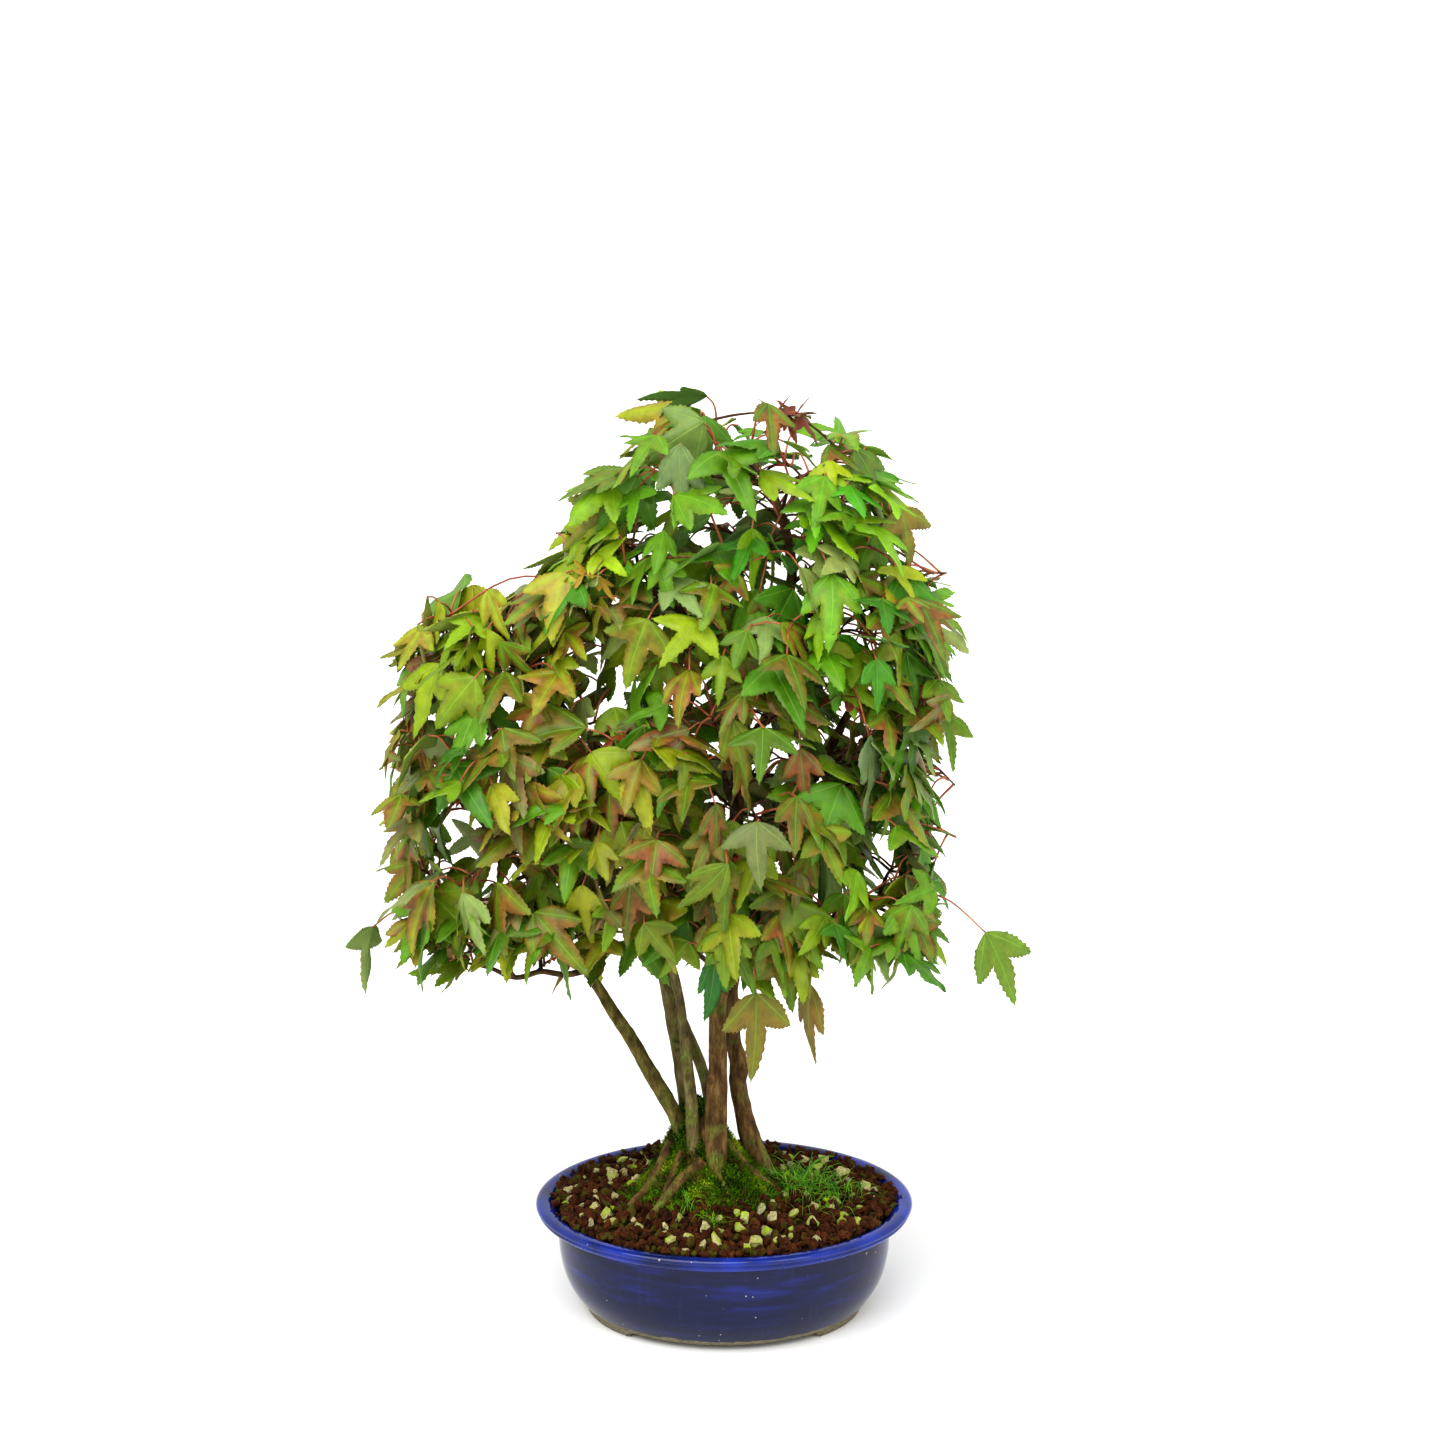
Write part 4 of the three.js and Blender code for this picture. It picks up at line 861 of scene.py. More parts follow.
def make_moss():
    """A mound of cushion moss: a lumpy bed set with thousands of small tips."""
    shape = Shape()
    radii = [57, *range(55, 3, -3), 1.5]

    def top(x, y):
        return ground_height(x, y) + np.maximum(moss_depth(x, y), -2.0)

    centre = (MOSS["x"], MOSS["y"])
    # the bed under the tips is darkened to 0.55 as painted shade
    shape.add(*bed(radii, 96, centre, MOSS["oval"], [(55, 62), (57, 65)], top), tint=(0.55, 0.55, 0.55, 1))
    random = np.random.default_rng(11)
    turn = random.uniform(0, 2 * np.pi, MOSS_TIP_COUNT)
    radius = MOSS["radius"] * np.sqrt(random.uniform(0, 1, MOSS_TIP_COUNT))
    places = np.stack([centre[0] + radius * np.cos(turn), centre[1] + radius * MOSS["oval"] * np.sin(turn)])
    x, y = places[:, moss_depth(*places) > -0.6]  # none where the moss gives way to soil
    count = len(x)
    z = top(x, y)
    fall_x, fall_y = (top(x - 1, y) - top(x + 1, y)) / 2, (top(x, y - 1) - top(x, y + 1)) / 2
    slope = np.stack([fall_x, fall_y, np.ones(count)], axis=1)
    up = unit_rows(unit_rows(slope) + random.normal(size=(count, 3)) * 0.4)
    # each tip is a spike on a three-sided foot
    width, start = random.uniform(0.6, 1.1, count), random.uniform(0, 2, count)
    middle = np.stack([x, y, z], axis=1)
    points = np.repeat(middle[:, None], 4, axis=1)
    for corner, angle in enumerate((0, 2.09, 4.19)):
        points[:, corner, 0] += width * np.cos(start + angle)
        points[:, corner, 1] += width * np.sin(start + angle)
        points[:, corner, 2] -= 0.5
    points[:, 3] += up * random.uniform(1.6, 4.6, (count, 1))
    tone = random.uniform(0.6, 1.4, count)[:, None, None]
    tints = np.ones((count, 4, 4))
    # painted shade: each tip's foot is darkened; its end is lighter and yellower, as young growth
    tints[:, :3, :3] = tone * 0.7
    tints[:, 3:, :3] = tone * [1.35, 1.3, 0.9]
    faces = [(i + a, i + b, i + c) for i in range(0, count * 4, 4)
             for a, b, c in ((0, 1, 3), (1, 2, 3), (2, 0, 3), (2, 1, 0))]
    shape.add(points.reshape(-1, 3), faces, tint=tints.reshape(-1, 4))
    piece("moss_cushion", shape, [MOSS_TIPS], ["moss_mound"])


def grass_blade(shape, foot, turn, reach, rise, width, droop):
    """A narrow blade that rises and bends over, folded along its middle and closed all round."""
    out = np.array([math.cos(turn), math.sin(turn), 0])
    side = np.array([-out[1], out[0], 0])
    line = curve_through([
        foot, foot + out * reach * 0.3 + [0, 0, rise * 0.75], foot + out * reach * 0.7 + [0, 0, rise],
        foot + out * reach + [0, 0, rise - droop],
    ], 4)
    rings = []
    for i, middle in enumerate(line):
        share = i / (len(line) - 1)
        half = width / 2 * (1 - share**2) * (0.55 + 0.45 * min(1, share * 4)) + 0.06
        rings.append([middle - side * half, middle - [0, 0, 0.35 * half], middle + side * half,
                      middle + [0, 0, 0.18 - 0.35 * half]])
    shape.add(np.vstack(rings), grid_faces(len(line), 4))


def make_grass():
    """Fine grass tufts among the moss and soil."""
    shape = Shape()
    random = np.random.default_rng(5)
    # where, how wide the tuft's foot is, blades, their reach, rise and width
    tufts = [
        (50, 4, 8, 130, 26, 13, 0.48), (40, -8, 7, 60, 18, 8, 0.45), (70, 2, 8, 60, 20, 9, 0.45),
        (62, -20, 7, 36, 16, 7, 0.45), (-22, -36, 2.0, 24, 13, 10, 0.6), (-8, -52, 1.5, 20, 12, 8, 0.6),
        (-46, 20, 3, 14, 12, 9, 0.6),
    ]
    for x, y, foot_width, count, reach, rise, width in tufts:
        for _ in range(count):
            a, b = x + random.normal() * foot_width, y + random.normal() * foot_width
            foot = np.array([a, b, float(ground_height(a, b)) + 0.5])
            turn = random.uniform(0, 2 * np.pi)
            out, up = reach * random.uniform(0.3, 1.0), rise * random.uniform(0.3, 1.15)
            wide, droop = width * random.uniform(0.7, 1.2), random.uniform(-4, 9)
            grass_blade(shape, foot, turn, out, up, wide, droop)
    foot = np.array([47, -2, float(ground_height(47, -2))])  # one broad blade
    grass_blade(shape, foot, turn=0.5, reach=26, rise=19, width=3.2, droop=1)
    piece("grass_tufts", shape, [GRASS], ["grass_tuft"])


# ---------------------------------------------------------------- wood


# How far the bark's plates stand out, in millimetres.
BARK_DEPTH = dict(old=0.6, root=0.4, stem=0.35, knot=0.3, branch=0.18, twig=0.12)


def bark_swell(depth):
    """Plates and lumps on a limb, deeper on thick wood."""
    def swell(ring, radius):
        lumps = noise(ring, (7, 7, 16), 1) * 0.08 * radius
        plates = noise(ring, (2.2, 2.2, 6), 2) * depth * np.minimum(1, radius / 4)
        return lumps + plates
    return swell


# Where each surface root leaves the crown, the way it runs in degrees, its reach, radius and lift.
SURFACE_ROOTS = [
    ((-13, -20), 194, 46, 3.9, 2.2), ((-32, -5), 204, 46, 3.7, 2.4), ((-26, -14), 222, 36, 2.6, 1.8),
    ((-20, 4), 282, 54, 3.0, 2.2), ((-2, -8), 336, 44, 3.4, 2.2), ((0, 8), 8, 46, 3.4, 2.0),
]


def root_line(start, angle, reach, radius, lift):
    """A root runs out from the crown over the soil and dives into it."""
    points = []
    for i, share in enumerate((0, 0.35, 0.7, 1)):
        turn = math.radians(angle) + 0.12 * i
        x = start[0] + math.cos(turn) * reach * share
        y = start[1] + math.sin(turn) * reach * share * 0.85
        rise = (-1, lift, lift * 0.8, -2.5)[i]
        points.append([x, y, float(ground_height(x, y)) + rise, radius * (1.15 - 0.7 * share)])
    return points


def make_roots():
    """The crown that joins the stems, and the roots that leave it."""
    shape = Shape()
    radii = [*range(31, 3, -3), 1.5]

    def top(x, y):
        flat = np.stack([x, y, np.zeros_like(x)], axis=-1)
        turn = np.arctan2(y - CROWN["y"], x - CROWN["x"])
        return crown_height(x, y) + 2.4 * np.sin(turn * 7) + 2.4 * noise(flat, 8, 9) + 0.6

    shape.add(*bed(radii, 72, (CROWN["x"], CROWN["y"]), 1, [(30, 66)], top))
    for root in SURFACE_ROOTS:
        shape.add(*tube(root_line(*root), 16, 10, bark_swell(BARK_DEPTH["root"])))
    piece("root_crown", shape, [BARK_ROOT], ["root_base"])


# Stubs of cut branches: the stem, where on its skin, which way they point, and their radius.
KNOTS = [
    ("stem_knotted", [-24.6, -13.6, 187], [-0.15, -1, 0.1], 1.7),
    ("stem_knotted", [-20, -16.4, 132], [0.5, -1, 0.3], 1.6),
    ("stem_front", [-8, -19, 158], [-0.7, -0.7, 0.4], 2.0),
    ("stem_front", [0, -13, 214], [0.9, -0.4, 0.5], 2.2),
    ("stem_right", [12.4, 10, 157], [0.6, -0.8, 0.2], 3.0),
    ("stem_left", [-30, 6.5, 172], [-0.4, -0.9, 0.3], 2.2),
    ("stem_leaning", [-63, -5, 188], [0.3, -1, 0.3], 1.8),
    ("stem_rear", [-20, 33, 164], [0.3, 1, 0.4], 2.2),
    ("stem_right", [8, 20, 186], [0.3, 1, 0.4], 2.4),
]

# The stems whose bark isn't grey.
STEM_BARK = {"stem_front": BARK_BROWN, "stem_right": BARK_BROWN, "stem_leaning": BARK_OLIVE}


def knot(place, way, radius):
    """The stub of a cut branch, wide at its foot and rounded at its end."""
    place, way = np.array(place), unit(np.array(way))
    steps = [(-1, 1.5), (0.2, 1.25), (0.7, 1.0), (0.9, 0.55)]
    points = [[*(place + way * radius * out), radius * wide] for out, wide in steps]
    return tube(points, 16, 4, bark_swell(BARK_DEPTH["knot"]))


def stem_line(name):
    """A stem's points, with a flared foot that goes on down into the crown."""
    x, y, z, radius = STEMS[name][0]
    points = [[x, y - 1, z - 13, radius * 1.35], [x, y, z, radius * 1.12], *STEMS[name][1:]]
    if name == "stem_right":  # old bark, thickest up to where the stem bends
        points = [[x, y, z, radius * (1.24 if z < 190 else 1.1)] for x, y, z, radius in points]
    return points


def make_wood():
    """The stems with their knots, and the branches."""
    for name in STEMS:
        shape = Shape()
        for bearer, *stub in KNOTS:
            if bearer == name:
                shape.add(*knot(*stub))
        depth = BARK_DEPTH["old" if name == "stem_right" else "stem"]
        shape.add(*tube(stem_line(name), 28, 12, bark_swell(depth)))
        piece(name + "_bark", shape, [STEM_BARK.get(name, BARK_GREY)], [name])
    for name, points in BRANCHES.items():
        shape = Shape()
        shape.add(*tube(points, 16, 8, bark_swell(BARK_DEPTH["branch"])))
        piece(name + "_bark", shape, [TWIG], [name])


# ---------------------------------------------------------------- leaves

# Steps along a vein, the step where the lobes part, and steps from a vein to the edge.
STATIONS, PARTING, ACROSS = 20, 7, 2
BLADE_THICKNESS = 0.28
BLADE_FINISH, STALK_FINISH, TWIG_FINISH = 0, 1, 2
SPRAY_FINISHES = [LEAF, STALK, TWIG]
GOLDEN_ANGLE = 2.39996  # each row of leaves on a shoot turns by this from the one before
TWIG_ARCH = 5  # how far a twig bows up at its middle
SIDE_SHOOT = dict(out=24, back=8, rise=9)  # from the end of the twig to the tip of each side shoot
LIFT_FROM, LIFT_OVER = 440, 120  # leaves at the top lift their blades, from this height and over this much


def even_line(controls, count):
    """`count` + 1 points spaced evenly along a smooth line through the controls."""
    line = curve_through(controls, 8)
    run = np.concatenate([[0], np.cumsum(np.linalg.norm(np.diff(line, axis=0), axis=1))])
    at = np.linspace(0, run[-1], count + 1)
    return np.stack([np.interp(at, run, line[:, k]) for k in range(2)], axis=1)


# How the lobes narrow from where they part to their tips: share across, share along. The middle lobe's share
# across is of its half width where the lobes part, and a side lobe's is of the blade's length.
LOBE_TAPER = ((1.10, 0.14), (1.02, 0.34), (0.80, 0.56), (0.46, 0.78), (0.17, 0.92))
SIDE_TAPER = ((0.022, 0.30), (0.032, 0.60), (0.016, 0.85))


def leaf_lines(spread, width, plump):
    """The main veins and edges of the right half of a blade of length 1: for the middle lobe and for the
    inner and outer halves of the side lobe. spread is the side lobe's angle, in radians."""
    heading = np.array([math.sin(spread), math.cos(spread)])
    inward = np.array([-heading[1], heading[0]]) * plump
    tip = 0.66 * heading * [width, 1]
    half = 0.125 * width * plump
    parting = 0.36 + 0.25 * max(0.0, 0.9 - spread)
    notch = np.array([half, parting])
    to_notch = even_line([(0, 0), notch * 0.5, notch], PARTING)
    lobe = [(half * across, parting + (1 - parting) * along) for across, along in LOBE_TAPER]
    middle_rest = even_line([notch, *lobe, (0, 1)], STATIONS - PARTING)
    side = [notch + (tip - notch) * along + inward * across for across, along in SIDE_TAPER]
    inner_rest = even_line([notch, *side, tip], STATIONS - PARTING)
    outer = even_line([
        (0, 0), tip * 0.2 - inward * 0.064, tip * 0.42 - inward * 0.098, tip * 0.62 - inward * 0.090,
        tip * 0.80 - inward * 0.052, tip * 0.93 - inward * 0.018, tip,
    ], STATIONS)
    middle_vein = even_line([(0, 0), (0, 0.5), (0, 1)], STATIONS)
    side_vein = even_line([(0, 0), tip * 0.5, tip], STATIONS)
    return [
        (middle_vein, np.vstack([to_notch, middle_rest[1:]])),
        (side_vein, np.vstack([to_notch, inner_rest[1:]])),
        (side_vein, outer),
    ]


def leaf_template():
    """Which grid points are one point, the faces, the place on the blade of each face's corners, and the
    points of the outline in turn."""
    index, faces, corners = {}, [], []
    lines = leaf_lines(0.7, 1.0, 1.0)

    def key(half, lobe, i, j):
        if i == 0:
            return ("foot",)
        if lobe == 0 and i == STATIONS:
            return ("tip",)
        if lobe == 0 and j == 0:
            return ("midrib", i)
        if lobe < 2 and j == ACROSS and i <= PARTING:
            return (half, "parting", i)
        if lobe > 0 and i == STATIONS:
            return (half, "side tip")
        if lobe > 0 and j == 0:
            return (half, "side vein", i)
        return (half, lobe, i, j)

    def number(half, lobe, i, j):
        return index.setdefault(key(half, lobe, i, j), (len(index), half, lobe, i, j))[0]

    for half in (1, -1):
        for lobe in range(3):
            gaps = np.linalg.norm(lines[lobe][1] - lines[lobe][0], axis=1)
            flip = (half == 1) == (lobe == 1)
            for i in range(STATIONS):
                for j in range(ACROSS):
                    square = [(i, j), (i + 1, j), (i + 1, j + 1), (i, j + 1)]
                    face, marks = [], []
                    for a, b in square if flip else square[::-1]:
                        point = number(half, lobe, a, b)
                        if point not in face:
                            face.append(point)
                            marks.append((a / STATIONS, gaps[a] * b / ACROSS))
                    if len(face) > 2:
                        faces.append(tuple(face))
                        corners.append(marks)
    outline = []
    for half in (1, -1):
        edge = [number(half, 2, i, ACROSS) for i in range(STATIONS + 1)]
        edge += [number(half, 1, i, ACROSS) for i in range(STATIONS - 1, PARTING - 1, -1)]
        edge += [number(half, 0, i, ACROSS) for i in range(PARTING + 1, STATIONS + 1)]
        outline.append(edge)
    loop = outline[0] + outline[1][-2:0:-1]
    picks = np.array([(half, lobe, i, j) for _, half, lobe, i, j in sorted(index.values())])
    return picks, faces, corners, loop


PICKS, BLADE_FACES, BLADE_CORNERS, OUTLINE = leaf_template()
EDGE_POINTS = np.zeros(len(PICKS), bool)
EDGE_POINTS[OUTLINE] = True


def solid_blade():
    """The faces of a closed blade, front, back and rim, with each corner's place and side."""
    count = len(PICKS)
    back = [tuple(i + count for i in reversed(face)) for face in BLADE_FACES]
    rim = [(b, a, a + count, b + count) for a, b in zip(OUTLINE, OUTLINE[1:] + OUTLINE[:1])]
    marks = [(a, b, 0.0) for face in BLADE_CORNERS for a, b in face]
    marks += [(a, b, 1.0) for face in BLADE_CORNERS for a, b in reversed(face)]
    marks += [(0.5, 0.1, 0.5)] * (4 * len(rim))
    return [*BLADE_FACES, *back, *rim], np.array(marks)


LEAF_FACES, LEAF_MARKS = solid_blade()


def blade_points(length, bend, random):
    """A blade's points, in millimetres across, along and off its face, with its own shape and curl."""
    lines = leaf_lines(random.uniform(0.52, 1.12), random.uniform(0.88, 1.1), random.uniform(0.82, 1.3))
    half, lobe, i, j = PICKS.T
    veins = np.stack([line[0] for line in lines])[lobe, i]
    edges = np.stack([line[1] for line in lines])[lobe, i]
    share = (j / ACROSS)[:, None]
    flat = veins * (1 - share) + edges * share
    # fine uneven teeth along the edge beyond the rounded foot
    toothed = EDGE_POINTS & (i >= PARTING) & (i < STATIONS)
    outward = edges - veins
    outward = outward / np.maximum(np.linalg.norm(outward, axis=1, keepdims=True), 1e-6)
    teeth = np.where(i % 2 == 0, 0.013, -0.008) * random.uniform(0.2, 1.7, len(i))
    flat = flat + outward * (teeth * toothed)[:, None]
    x, y = flat[:, 0] * half, flat[:, 1]
    fold, wave, phase = random.uniform(-0.45, 0.4), random.uniform(0.006, 0.035), random.uniform(0, 6.28)
    twist, sweep = random.uniform(-0.5, 0.5), random.uniform(-0.12, 0.12)
    z = -bend * (x**2 + y**2) + fold * np.abs(x) - 0.25 * fold * (np.abs(x) / 0.35) ** 2 * 0.35
    # the veins are sunk, and the flesh between them swells
    z = z + np.where(j == 0, -0.010, np.where(j == 1, 0.007, 0)) * (1 - i / STATIONS)
    z = z + np.where(EDGE_POINTS, wave * np.sin(phase + 11 * y + 3 * half), 0)
    z = z + twist * x * y
    x = x + sweep * y**2
    return np.stack([x, y, z], axis=1) * length


def chance(spray, leaf, what):
    """A repeatable number from 0 to 1 for a place in the plan, the same as in the solids."""
    n = math.sin(spray * 127.1 + leaf * 311.7 + what * 74.7 + 19.19) * 43758.5453
    return n - math.floor(n)


def hang(base, reach, spray, leaf):
    """A blade hangs tip down, with its upper face away from the middle of the tree."""
    outward = np.append(unit(base[:2] - CANOPY_AXIS), 0.0)
    lift = min(1.0, max(0.0, (base[2] - LIFT_FROM) / LIFT_OVER))
    jitter = np.array([chance(spray, leaf, what) - 0.5 for what in (3, 4, 5)])
    face = unit(outward * (1 - 0.5 * lift) + [0, 0, 0.45 + 0.6 * lift] + jitter * 0.9)
    pull = np.array([0, 0, -0.95 + 0.3 * lift]) + reach * 0.75 + jitter * 0.5
    return unit(pull - face * (pull @ face)), face


def shoots_of(start, end):
    """The three shoots of a spray: the twig itself and one to each side of its leafy end."""
    start, end = np.array(start, float), np.array(end, float)
    middle = (start + end) / 2 + [0, 0, TWIG_ARCH]
    heading = unit(end - start)
    sideways = unit(np.cross([0, 0, 1], heading))
    fork = middle + (end - middle) * 0.3
    shoots = [(start, middle, end)]
    for turn in (-1, 1):
        aside = sideways * turn * SIDE_SHOOT["out"]
        tip = end + aside - heading * SIDE_SHOOT["back"] + [0, 0, turn * SIDE_SHOOT["rise"]]
        shoots.append((fork, (fork + tip) / 2 + [0, 0, 3], tip))
    return shoots


def leaf_plan(spray, leaf, shoots):
    """Leaf number `leaf` of a spray: its stalk's foot, the blade's base, its length, and its turn."""
    start, bend, tip = shoots[leaf % 3]
    row = leaf // 3
    foot = bend + (tip - bend) * (0.96 - 0.19 * row - 0.03 * (leaf % 3))
    heading = unit(tip - start)
    turn = row * GOLDEN_ANGLE + 6.283 * chance(spray, leaf % 3, 1)
    sideways = unit(np.cross([0, 0, 1], heading))
    upright = np.cross(heading, sideways)
    reach = unit(heading * 0.75 + sideways * math.cos(turn) + upright * 0.75 * math.sin(turn))
    base = foot + reach * STALK_LENGTH * (0.65 + 0.7 * chance(spray, leaf, 2))
    length = LEAF_LENGTH * (0.72 + 0.42 * chance(spray, leaf, 6))
    return foot, base, length, *hang(base, reach, spray, leaf)


# The canopy's outline seen from the front: height, and its left and right edges there.
CANOPY_EDGES = np.array([
    (205, -140, 110), (235, -182, 128), (260, -198, 134), (290, -205, 131), (340, -210, 133),
    (390, -212, 134), (430, -198, 136), (453, -186, 140), (466, -136, 132), (480, -106, 108),
    (510, -90, 110), (540, -76, 110), (565, -60, 90), (590, -46, 38),
])

# Where the wood is seen through the canopy from the front: x, z and the half width and height.
OPENINGS = [(-153, 322, 27, 30), (-104, 306, 16, 13), (36, 336, 15, 12), (-62, 268, 14, 12), (70, 410, 12, 9)]
OPEN_TOP = 485  # above this, the canopy is looser
OPEN_TOP_SHARE = 0.2
EDGE_MARGIN = 13  # how far inside the canopy's edge the middle of a blade stays


def fit_outline(base, along, length, random):
    """Draws a leaf in, so that its blade stays within the canopy's outline and above its lower edge."""
    base = base.copy()
    lowest = base[2] + along[2] * length * 0.95
    edge = CANOPY_FOOT - CANOPY_FOOT_SLOPE * base[1] + random.uniform(-12, 10)
    if lowest < edge:
        base[2] += (edge - lowest) * random.uniform(0.6, 1.05)
    middle = base + along * length * 0.6
    heights, lefts, rights = CANOPY_EDGES.T
    left = np.interp(middle[2], heights, lefts) + EDGE_MARGIN
    right = np.interp(middle[2], heights, rights) - EDGE_MARGIN
    if middle[0] > right:
        base[0] -= (middle[0] - right) * random.uniform(0.6, 1.1)
    if middle[0] < left:
        base[0] += (left - middle[0]) * random.uniform(0.6, 1.1)
    return base


def turn_to_light(along, face, random):
    """Tips a hanging blade up to the light, each by its own amount."""
    face = unit(face + [0, -0.1, random.uniform(-0.15, 1.1)] + random.normal(size=3) * 0.38)
    along = along + random.normal(size=3) * 0.36
    return unit(along - face * (along @ face)), face


def in_opening(base, along, length):
    """Whether a leaf would close one of the places where the wood is seen through the canopy."""
    middle = base + along * length * 0.5
    return any(
        ((middle[0] - x) / half_width) ** 2 + ((middle[2] - z) / half_height) ** 2 < 1
        for x, z, half_width, half_height in OPENINGS
    )


# The leaves' greens and how common each is, and what differs at the left, and at the right and the top.
GREENS = {"94AA10": 1.5, "7AA40E": 2.4, "5C9A12": 2.4, "3C8216": 1.0, "A6B024": 0.4, "889C58": 1.1}
GREENS_LEFT = {"94AA10": 2.4, "A6B024": 1.2, "3C8216": 0.4}
GREENS_RIGHT = {"3C8216": 1.8, "5C9A12": 3.4, "7AA40E": 1.7, "94AA10": 0.7, "A6B024": 0.1}
LEFT_PART, RIGHT_PART, TOP_PART = -70, 40, 470


def leaf_tint(base, random):
    """A leaf's green, by where it hangs, and in the alpha how far bronze has spread over it: yellower at the
    left, deeper at the right and top, lighter towards the top and the sides with painted sunlight, and most
    bronze at the left and in the middle."""
    x, _, z = base
    shares = GREENS
    if x < LEFT_PART:
        shares = {**GREENS, **GREENS_LEFT}
    elif x > RIGHT_PART or z > TOP_PART:
        shares = {**GREENS, **GREENS_RIGHT}
    chosen = random.choice(list(shares), p=np.array(list(shares.values())) / sum(shares.values()))
    tint = np.array(srgb(chosen))
    # painted sunlight: the leaves' colour is made lighter towards the top and away from the middle of the
    # tree
    painted_sunlight = 0.86 + 0.33 * min(1, abs(x + 10) / 80) + 0.55 * min(1, max(0, (z - 420) / 100))
    tint[:3] *= random.uniform(0.76, 1.12) * painted_sunlight * (1 + random.normal(size=3) * 0.05)
    bronzed = 0.10 if z > 490 else 0.24 if x > 60 else 0.46
    tint[3] = random.uniform(0.5, 0.95) if random.random() < bronzed else random.uniform(0, 0.35)
    return tint


def put_leaf(shape, foot, base, length, along, face, tint, random, bend=0.14):
    """A leaf with its stalk: the stalk arches from the twig, and the blade hangs from its end."""
    blade = blade_points(length, bend * random.uniform(0.3, 3.0), random)
    plumb = max(0.0, (-along[2] - 0.9) / 0.1)
    blade[:, 0] *= 1 - 0.36 * plumb  # one that hangs straight down closes a little
    across = np.cross(along, face)
    front = base + np.outer(blade[:, 0], across) + np.outer(blade[:, 1], along) + np.outer(blade[:, 2], face)
    points = np.vstack([front, front - face * BLADE_THICKNESS])
    shape.add(points, LEAF_FACES, BLADE_FINISH, tint, LEAF_MARKS)
    run = np.linalg.norm(base - foot)
    middle = foot * 0.45 + base * 0.55 + [0, 0, 0.5 + 0.13 * run] + random.normal(size=3) * 0.03 * run
    stalk = [[*foot, 0.85], [*middle, 0.6], [*(base + along * 0.8 - face * 0.1), 0.55]]
    shape.add(*tube(stalk, 6, 4), finish=STALK_FINISH)


def make_spray(name, shoots, leaves, replaces=()):
    """One spray: its shoots, its leaves and their stalks, as one piece."""
    shape = Shape()
    end = shoots[0][2]  # where a spray ends gives it its own seed
    random = np.random.default_rng(abs(int(end @ [7.0, 13.0, 3.0])) + 1000)
    for foot, base, length, along, face, tint in leaves:
        if tint is None:
            tint = leaf_tint(base, random)
            along, face = turn_to_light(along, face, random)
            length *= random.uniform(0.74, 1.04)
            base = fit_outline(base, along, length, random)
            if in_opening(base, along, length) or (base[2] > OPEN_TOP and random.random() < OPEN_TOP_SHARE):
                continue
        put_leaf(shape, foot, base, length, along, face, tint, random)
    for i, shoot in enumerate(shoots):
        radius = 1.4 if i == 0 else 1.0
        line = [[*point, radius * (1 - 0.25 * step)] for step, point in enumerate(shoot)]
        shape.add(*tube(line, 8, 8, bark_swell(BARK_DEPTH["twig"])), finish=TWIG_FINISH)
    piece(name, shape, SPRAY_FINISHES, replaces)


def stray_plan(base, tip, shoots, turn):
    """A stray leaf's stalk foot, on the nearest of its spray's shoots, its base and the ways it lies."""
    base, along = np.array(base, float), unit(np.array(tip, float) - base)
    outward = unit(np.array([base[0] - CANOPY_AXIS[0], base[1] - 60, 30]))
    face = unit(outward - along * (outward @ along))
    face = face * math.cos(turn) + np.cross(along, face) * math.sin(turn)
    ends = [bend + (tip - bend) * 0.87 for _, bend, tip in shoots]
    foot = min(ends, key=lambda end: np.linalg.norm(end - base))
    return foot, base, along, face


def young_leaves(place, colour):
    """A cluster of small leaves just out of the bud, nodding round the end of their shoot."""
    leaves = []
    for i in range(YOUNG_LEAVES):
        out = np.array([math.cos(i * 2.4), math.sin(i * 2.4), 0.0])
        along = unit(out * (0.5 + 0.12 * i) + [0, 0, 0.9 - 0.38 * i])
        face = unit(np.cross(np.cross(out, [0, 0, 1.0]), along))
        base = place + out * (1.5 + 0.5 * i)
        leaves.append((place, base, 12 + 1.7 * i, along, face, np.array([*srgb(colour)[:3], 0.0])))
    return leaves


def special_leaves(number, shoots):
    """The stray leaves and young clusters that a spray bears; the clusters' own shoots join `shoots`."""
    leaves = []
    for bearer, base, tip, length, green, bronze, turn in STRAY_LEAVES:
        if bearer == number:
            foot, base, along, face = stray_plan(base, tip, shoots[:3], math.radians(turn))
            leaves.append((foot, base, length, along, face, np.array([*srgb(green)[:3], bronze])))
    for place, bearer, colour in YOUNG_CLUSTERS:
        if bearer == number:
            place = np.array(place, float)
            foot = min((tip for _, _, tip in shoots[:3]), key=lambda tip: np.linalg.norm(tip - place))
            shoots.append((foot, (foot + place) / 2 + [0, 0, 2], place))
            leaves += young_leaves(place, colour)
    return leaves


def make_sprays():
    """The sprays of the solids, then those that fill the canopy between them."""
    for number, (start, end) in enumerate([*SPRAYS, *FILLING_SPRAYS], 1):
        shoots = shoots_of(start, end)
        filling = number > len(SPRAYS)
        plan = number if filling else number - 1  # the solids count their sprays from 0
        count = LEAVES_ON_FILLING_SPRAY if filling else LEAVES_ON_SPRAY
        leaves = [(*leaf_plan(plan, leaf, shoots), None) for leaf in range(count)]
        leaves += special_leaves(number, shoots)
        make_spray(f"spray_{number:02d}", shoots, leaves, [] if filling else [f"leaf_spray_{number:02d}"])


LEAFY_FROM = 262  # short shoots grow above this height
SHOOT_SPACING = 6  # steps along the wood from one short shoot to the next


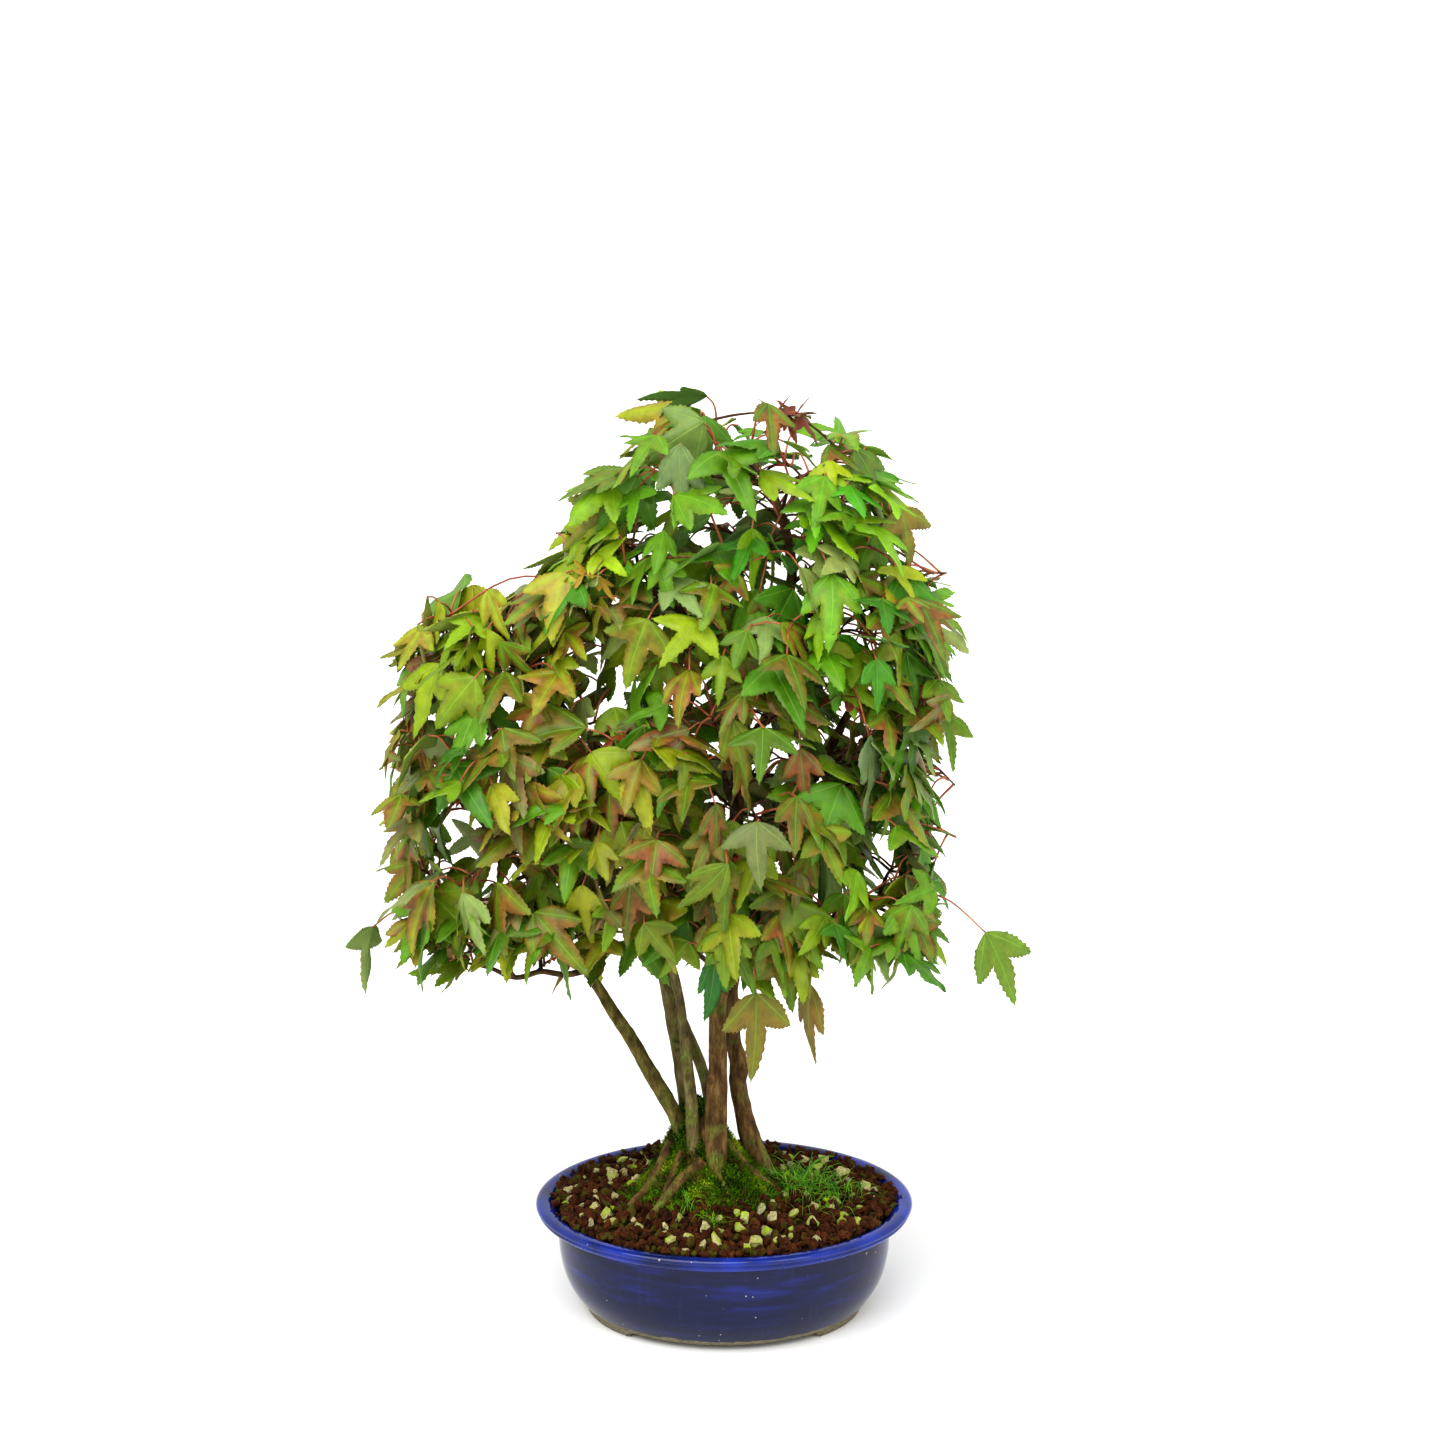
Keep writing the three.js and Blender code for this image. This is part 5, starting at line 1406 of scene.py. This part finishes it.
def put_short_shoot(shape, start, number, step, random):
    """One short shoot with its leaves, numbered by the wood that bears it and its step along that."""
    turn = random.uniform(0, 2 * np.pi)
    outward = np.append(start[:2] - CANOPY_AXIS, 0) / 100
    way = np.array([math.cos(turn), math.sin(turn), random.uniform(-0.1, 0.7)])
    heading = unit(way + outward * 0.6)
    end = start + heading * random.uniform(20, 42)
    middle = (start + end) / 2 + [0, 0, 2]
    shape.add(*tube([[*start, 1.0], [*middle, 0.8], [*end, 0.6]], 6, 5), finish=TWIG_FINISH)
    for leaf in range(LEAVES_ON_SHORT_SHOOT):
        foot = start + (end - start) * (0.98 - 0.16 * leaf)
        around = unit(np.cross(heading, [0, 0, 1.0]) * math.cos(leaf * 2.4 + turn)
                      + np.array([0, 0, 0.5]) * math.sin(leaf * 2.4 + turn) + heading * 0.6)
        base, length = foot + around * random.uniform(14, 30), random.uniform(26, 48)
        hung = hang(base, around, 200 + number, step * LEAVES_ON_SHORT_SHOOT + leaf)
        along, face = turn_to_light(*hung, random)
        base = fit_outline(base, along, length, random)
        if not in_opening(base, along, length):
            put_leaf(shape, foot, base, length, along, face, leaf_tint(base, random), random)


def make_short_shoots():
    """Short leafy shoots straight from the stems and branches, which fill the middle of the canopy."""
    for number, (name, points) in enumerate({**STEMS, **BRANCHES}.items()):
        line = curve_through(points, 4)
        random = np.random.default_rng(300 + number)
        run = [point for point in line if point[2] > LEAFY_FROM]
        if name == "branch_low_left":  # it lies lower, and is leafy in its outer half
            run = line[8:]
        shape = Shape()
        for step, point in enumerate(run[1::SHOOT_SPACING]):
            put_short_shoot(shape, point[:3], number, step, random)
        if shape.count:
            label = name.split("_", 1)[1] + ("_stem" if name in STEMS else "")
            piece("short_shoots_" + label, shape, SPRAY_FINISHES)


# ---------------------------------------------------------------- assembly

make_pot()
for side in ("left", "right"):
    for node, material in (("drain_screen_", SCREEN), ("screen_wire_", WIRE)):
        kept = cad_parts[node + side]
        kept.data.materials.clear()
        kept.data.materials.append(material)
make_soil()
make_roots()
make_moss()
make_grass()
make_wood()
make_sprays()
make_short_shoots()

# ---------------------------------------------------------------- floor, light and camera

scene = bpy.context.scene
scene.view_settings.view_transform = "Standard"
scene.view_settings.look = "Medium High Contrast"

FLOOR_REACH = 40  # metres
corners = [(x * FLOOR_REACH, y * FLOOR_REACH, 0) for x, y in ((-1, -1), (1, -1), (1, 1), (-1, 1))]
floor_mesh = bpy.data.meshes.new("studio_floor")
floor_mesh.from_pydata(corners, [], [(0, 1, 2, 3)])
floor_mesh.materials.append(pale_floor())
floor = bpy.data.objects.new("studio_floor", floor_mesh)
scene.collection.objects.link(floor)

world = bpy.data.worlds.new("soft_white_room")
world.use_nodes = True
world.node_tree.nodes["Background"].inputs["Color"].default_value = (1, 1, 1, 1)
world.node_tree.nodes["Background"].inputs["Strength"].default_value = 0.95
scene.world = world


def light(name, kind, energy, place, aim, **settings):
    """A light at a place, in metres, turned towards its aim."""
    data = bpy.data.lights.new(name, kind)
    data.energy = energy
    for setting, value in settings.items():
        setattr(data, setting, value)
    made = bpy.data.objects.new(name, data)
    made.location = Vector(place)
    made.rotation_euler = (Vector(aim) - Vector(place)).to_track_quat("-Z", "Y").to_euler()
    scene.collection.objects.link(made)


light("soft_daylight", "SUN", 2.0, (-0.8, -1.5, 2.6), (0, 0, 0.2), angle=math.radians(50))
light("window", "AREA", 8, (1.1, -1.5, 1.5), (0, 0, 0.15), shape="RECTANGLE", size=0.7, size_y=1.0)

CAMERA_PLACE = np.array([-1.0, -1826.7, 886.5])  # millimetres
CAMERA_SLOPE = 15.4  # degrees that it looks down
camera_data = bpy.data.cameras.new("camera")
camera_data.sensor_width = 36
camera_data.lens = 77.85
camera_data.clip_end = 200
camera = bpy.data.objects.new("camera", camera_data)
camera.location = Vector(POT_MIDDLE + CAMERA_PLACE * MM)
camera.rotation_euler = (math.radians(90 - CAMERA_SLOPE), 0, 0)
scene.collection.objects.link(camera)
scene.camera = camera
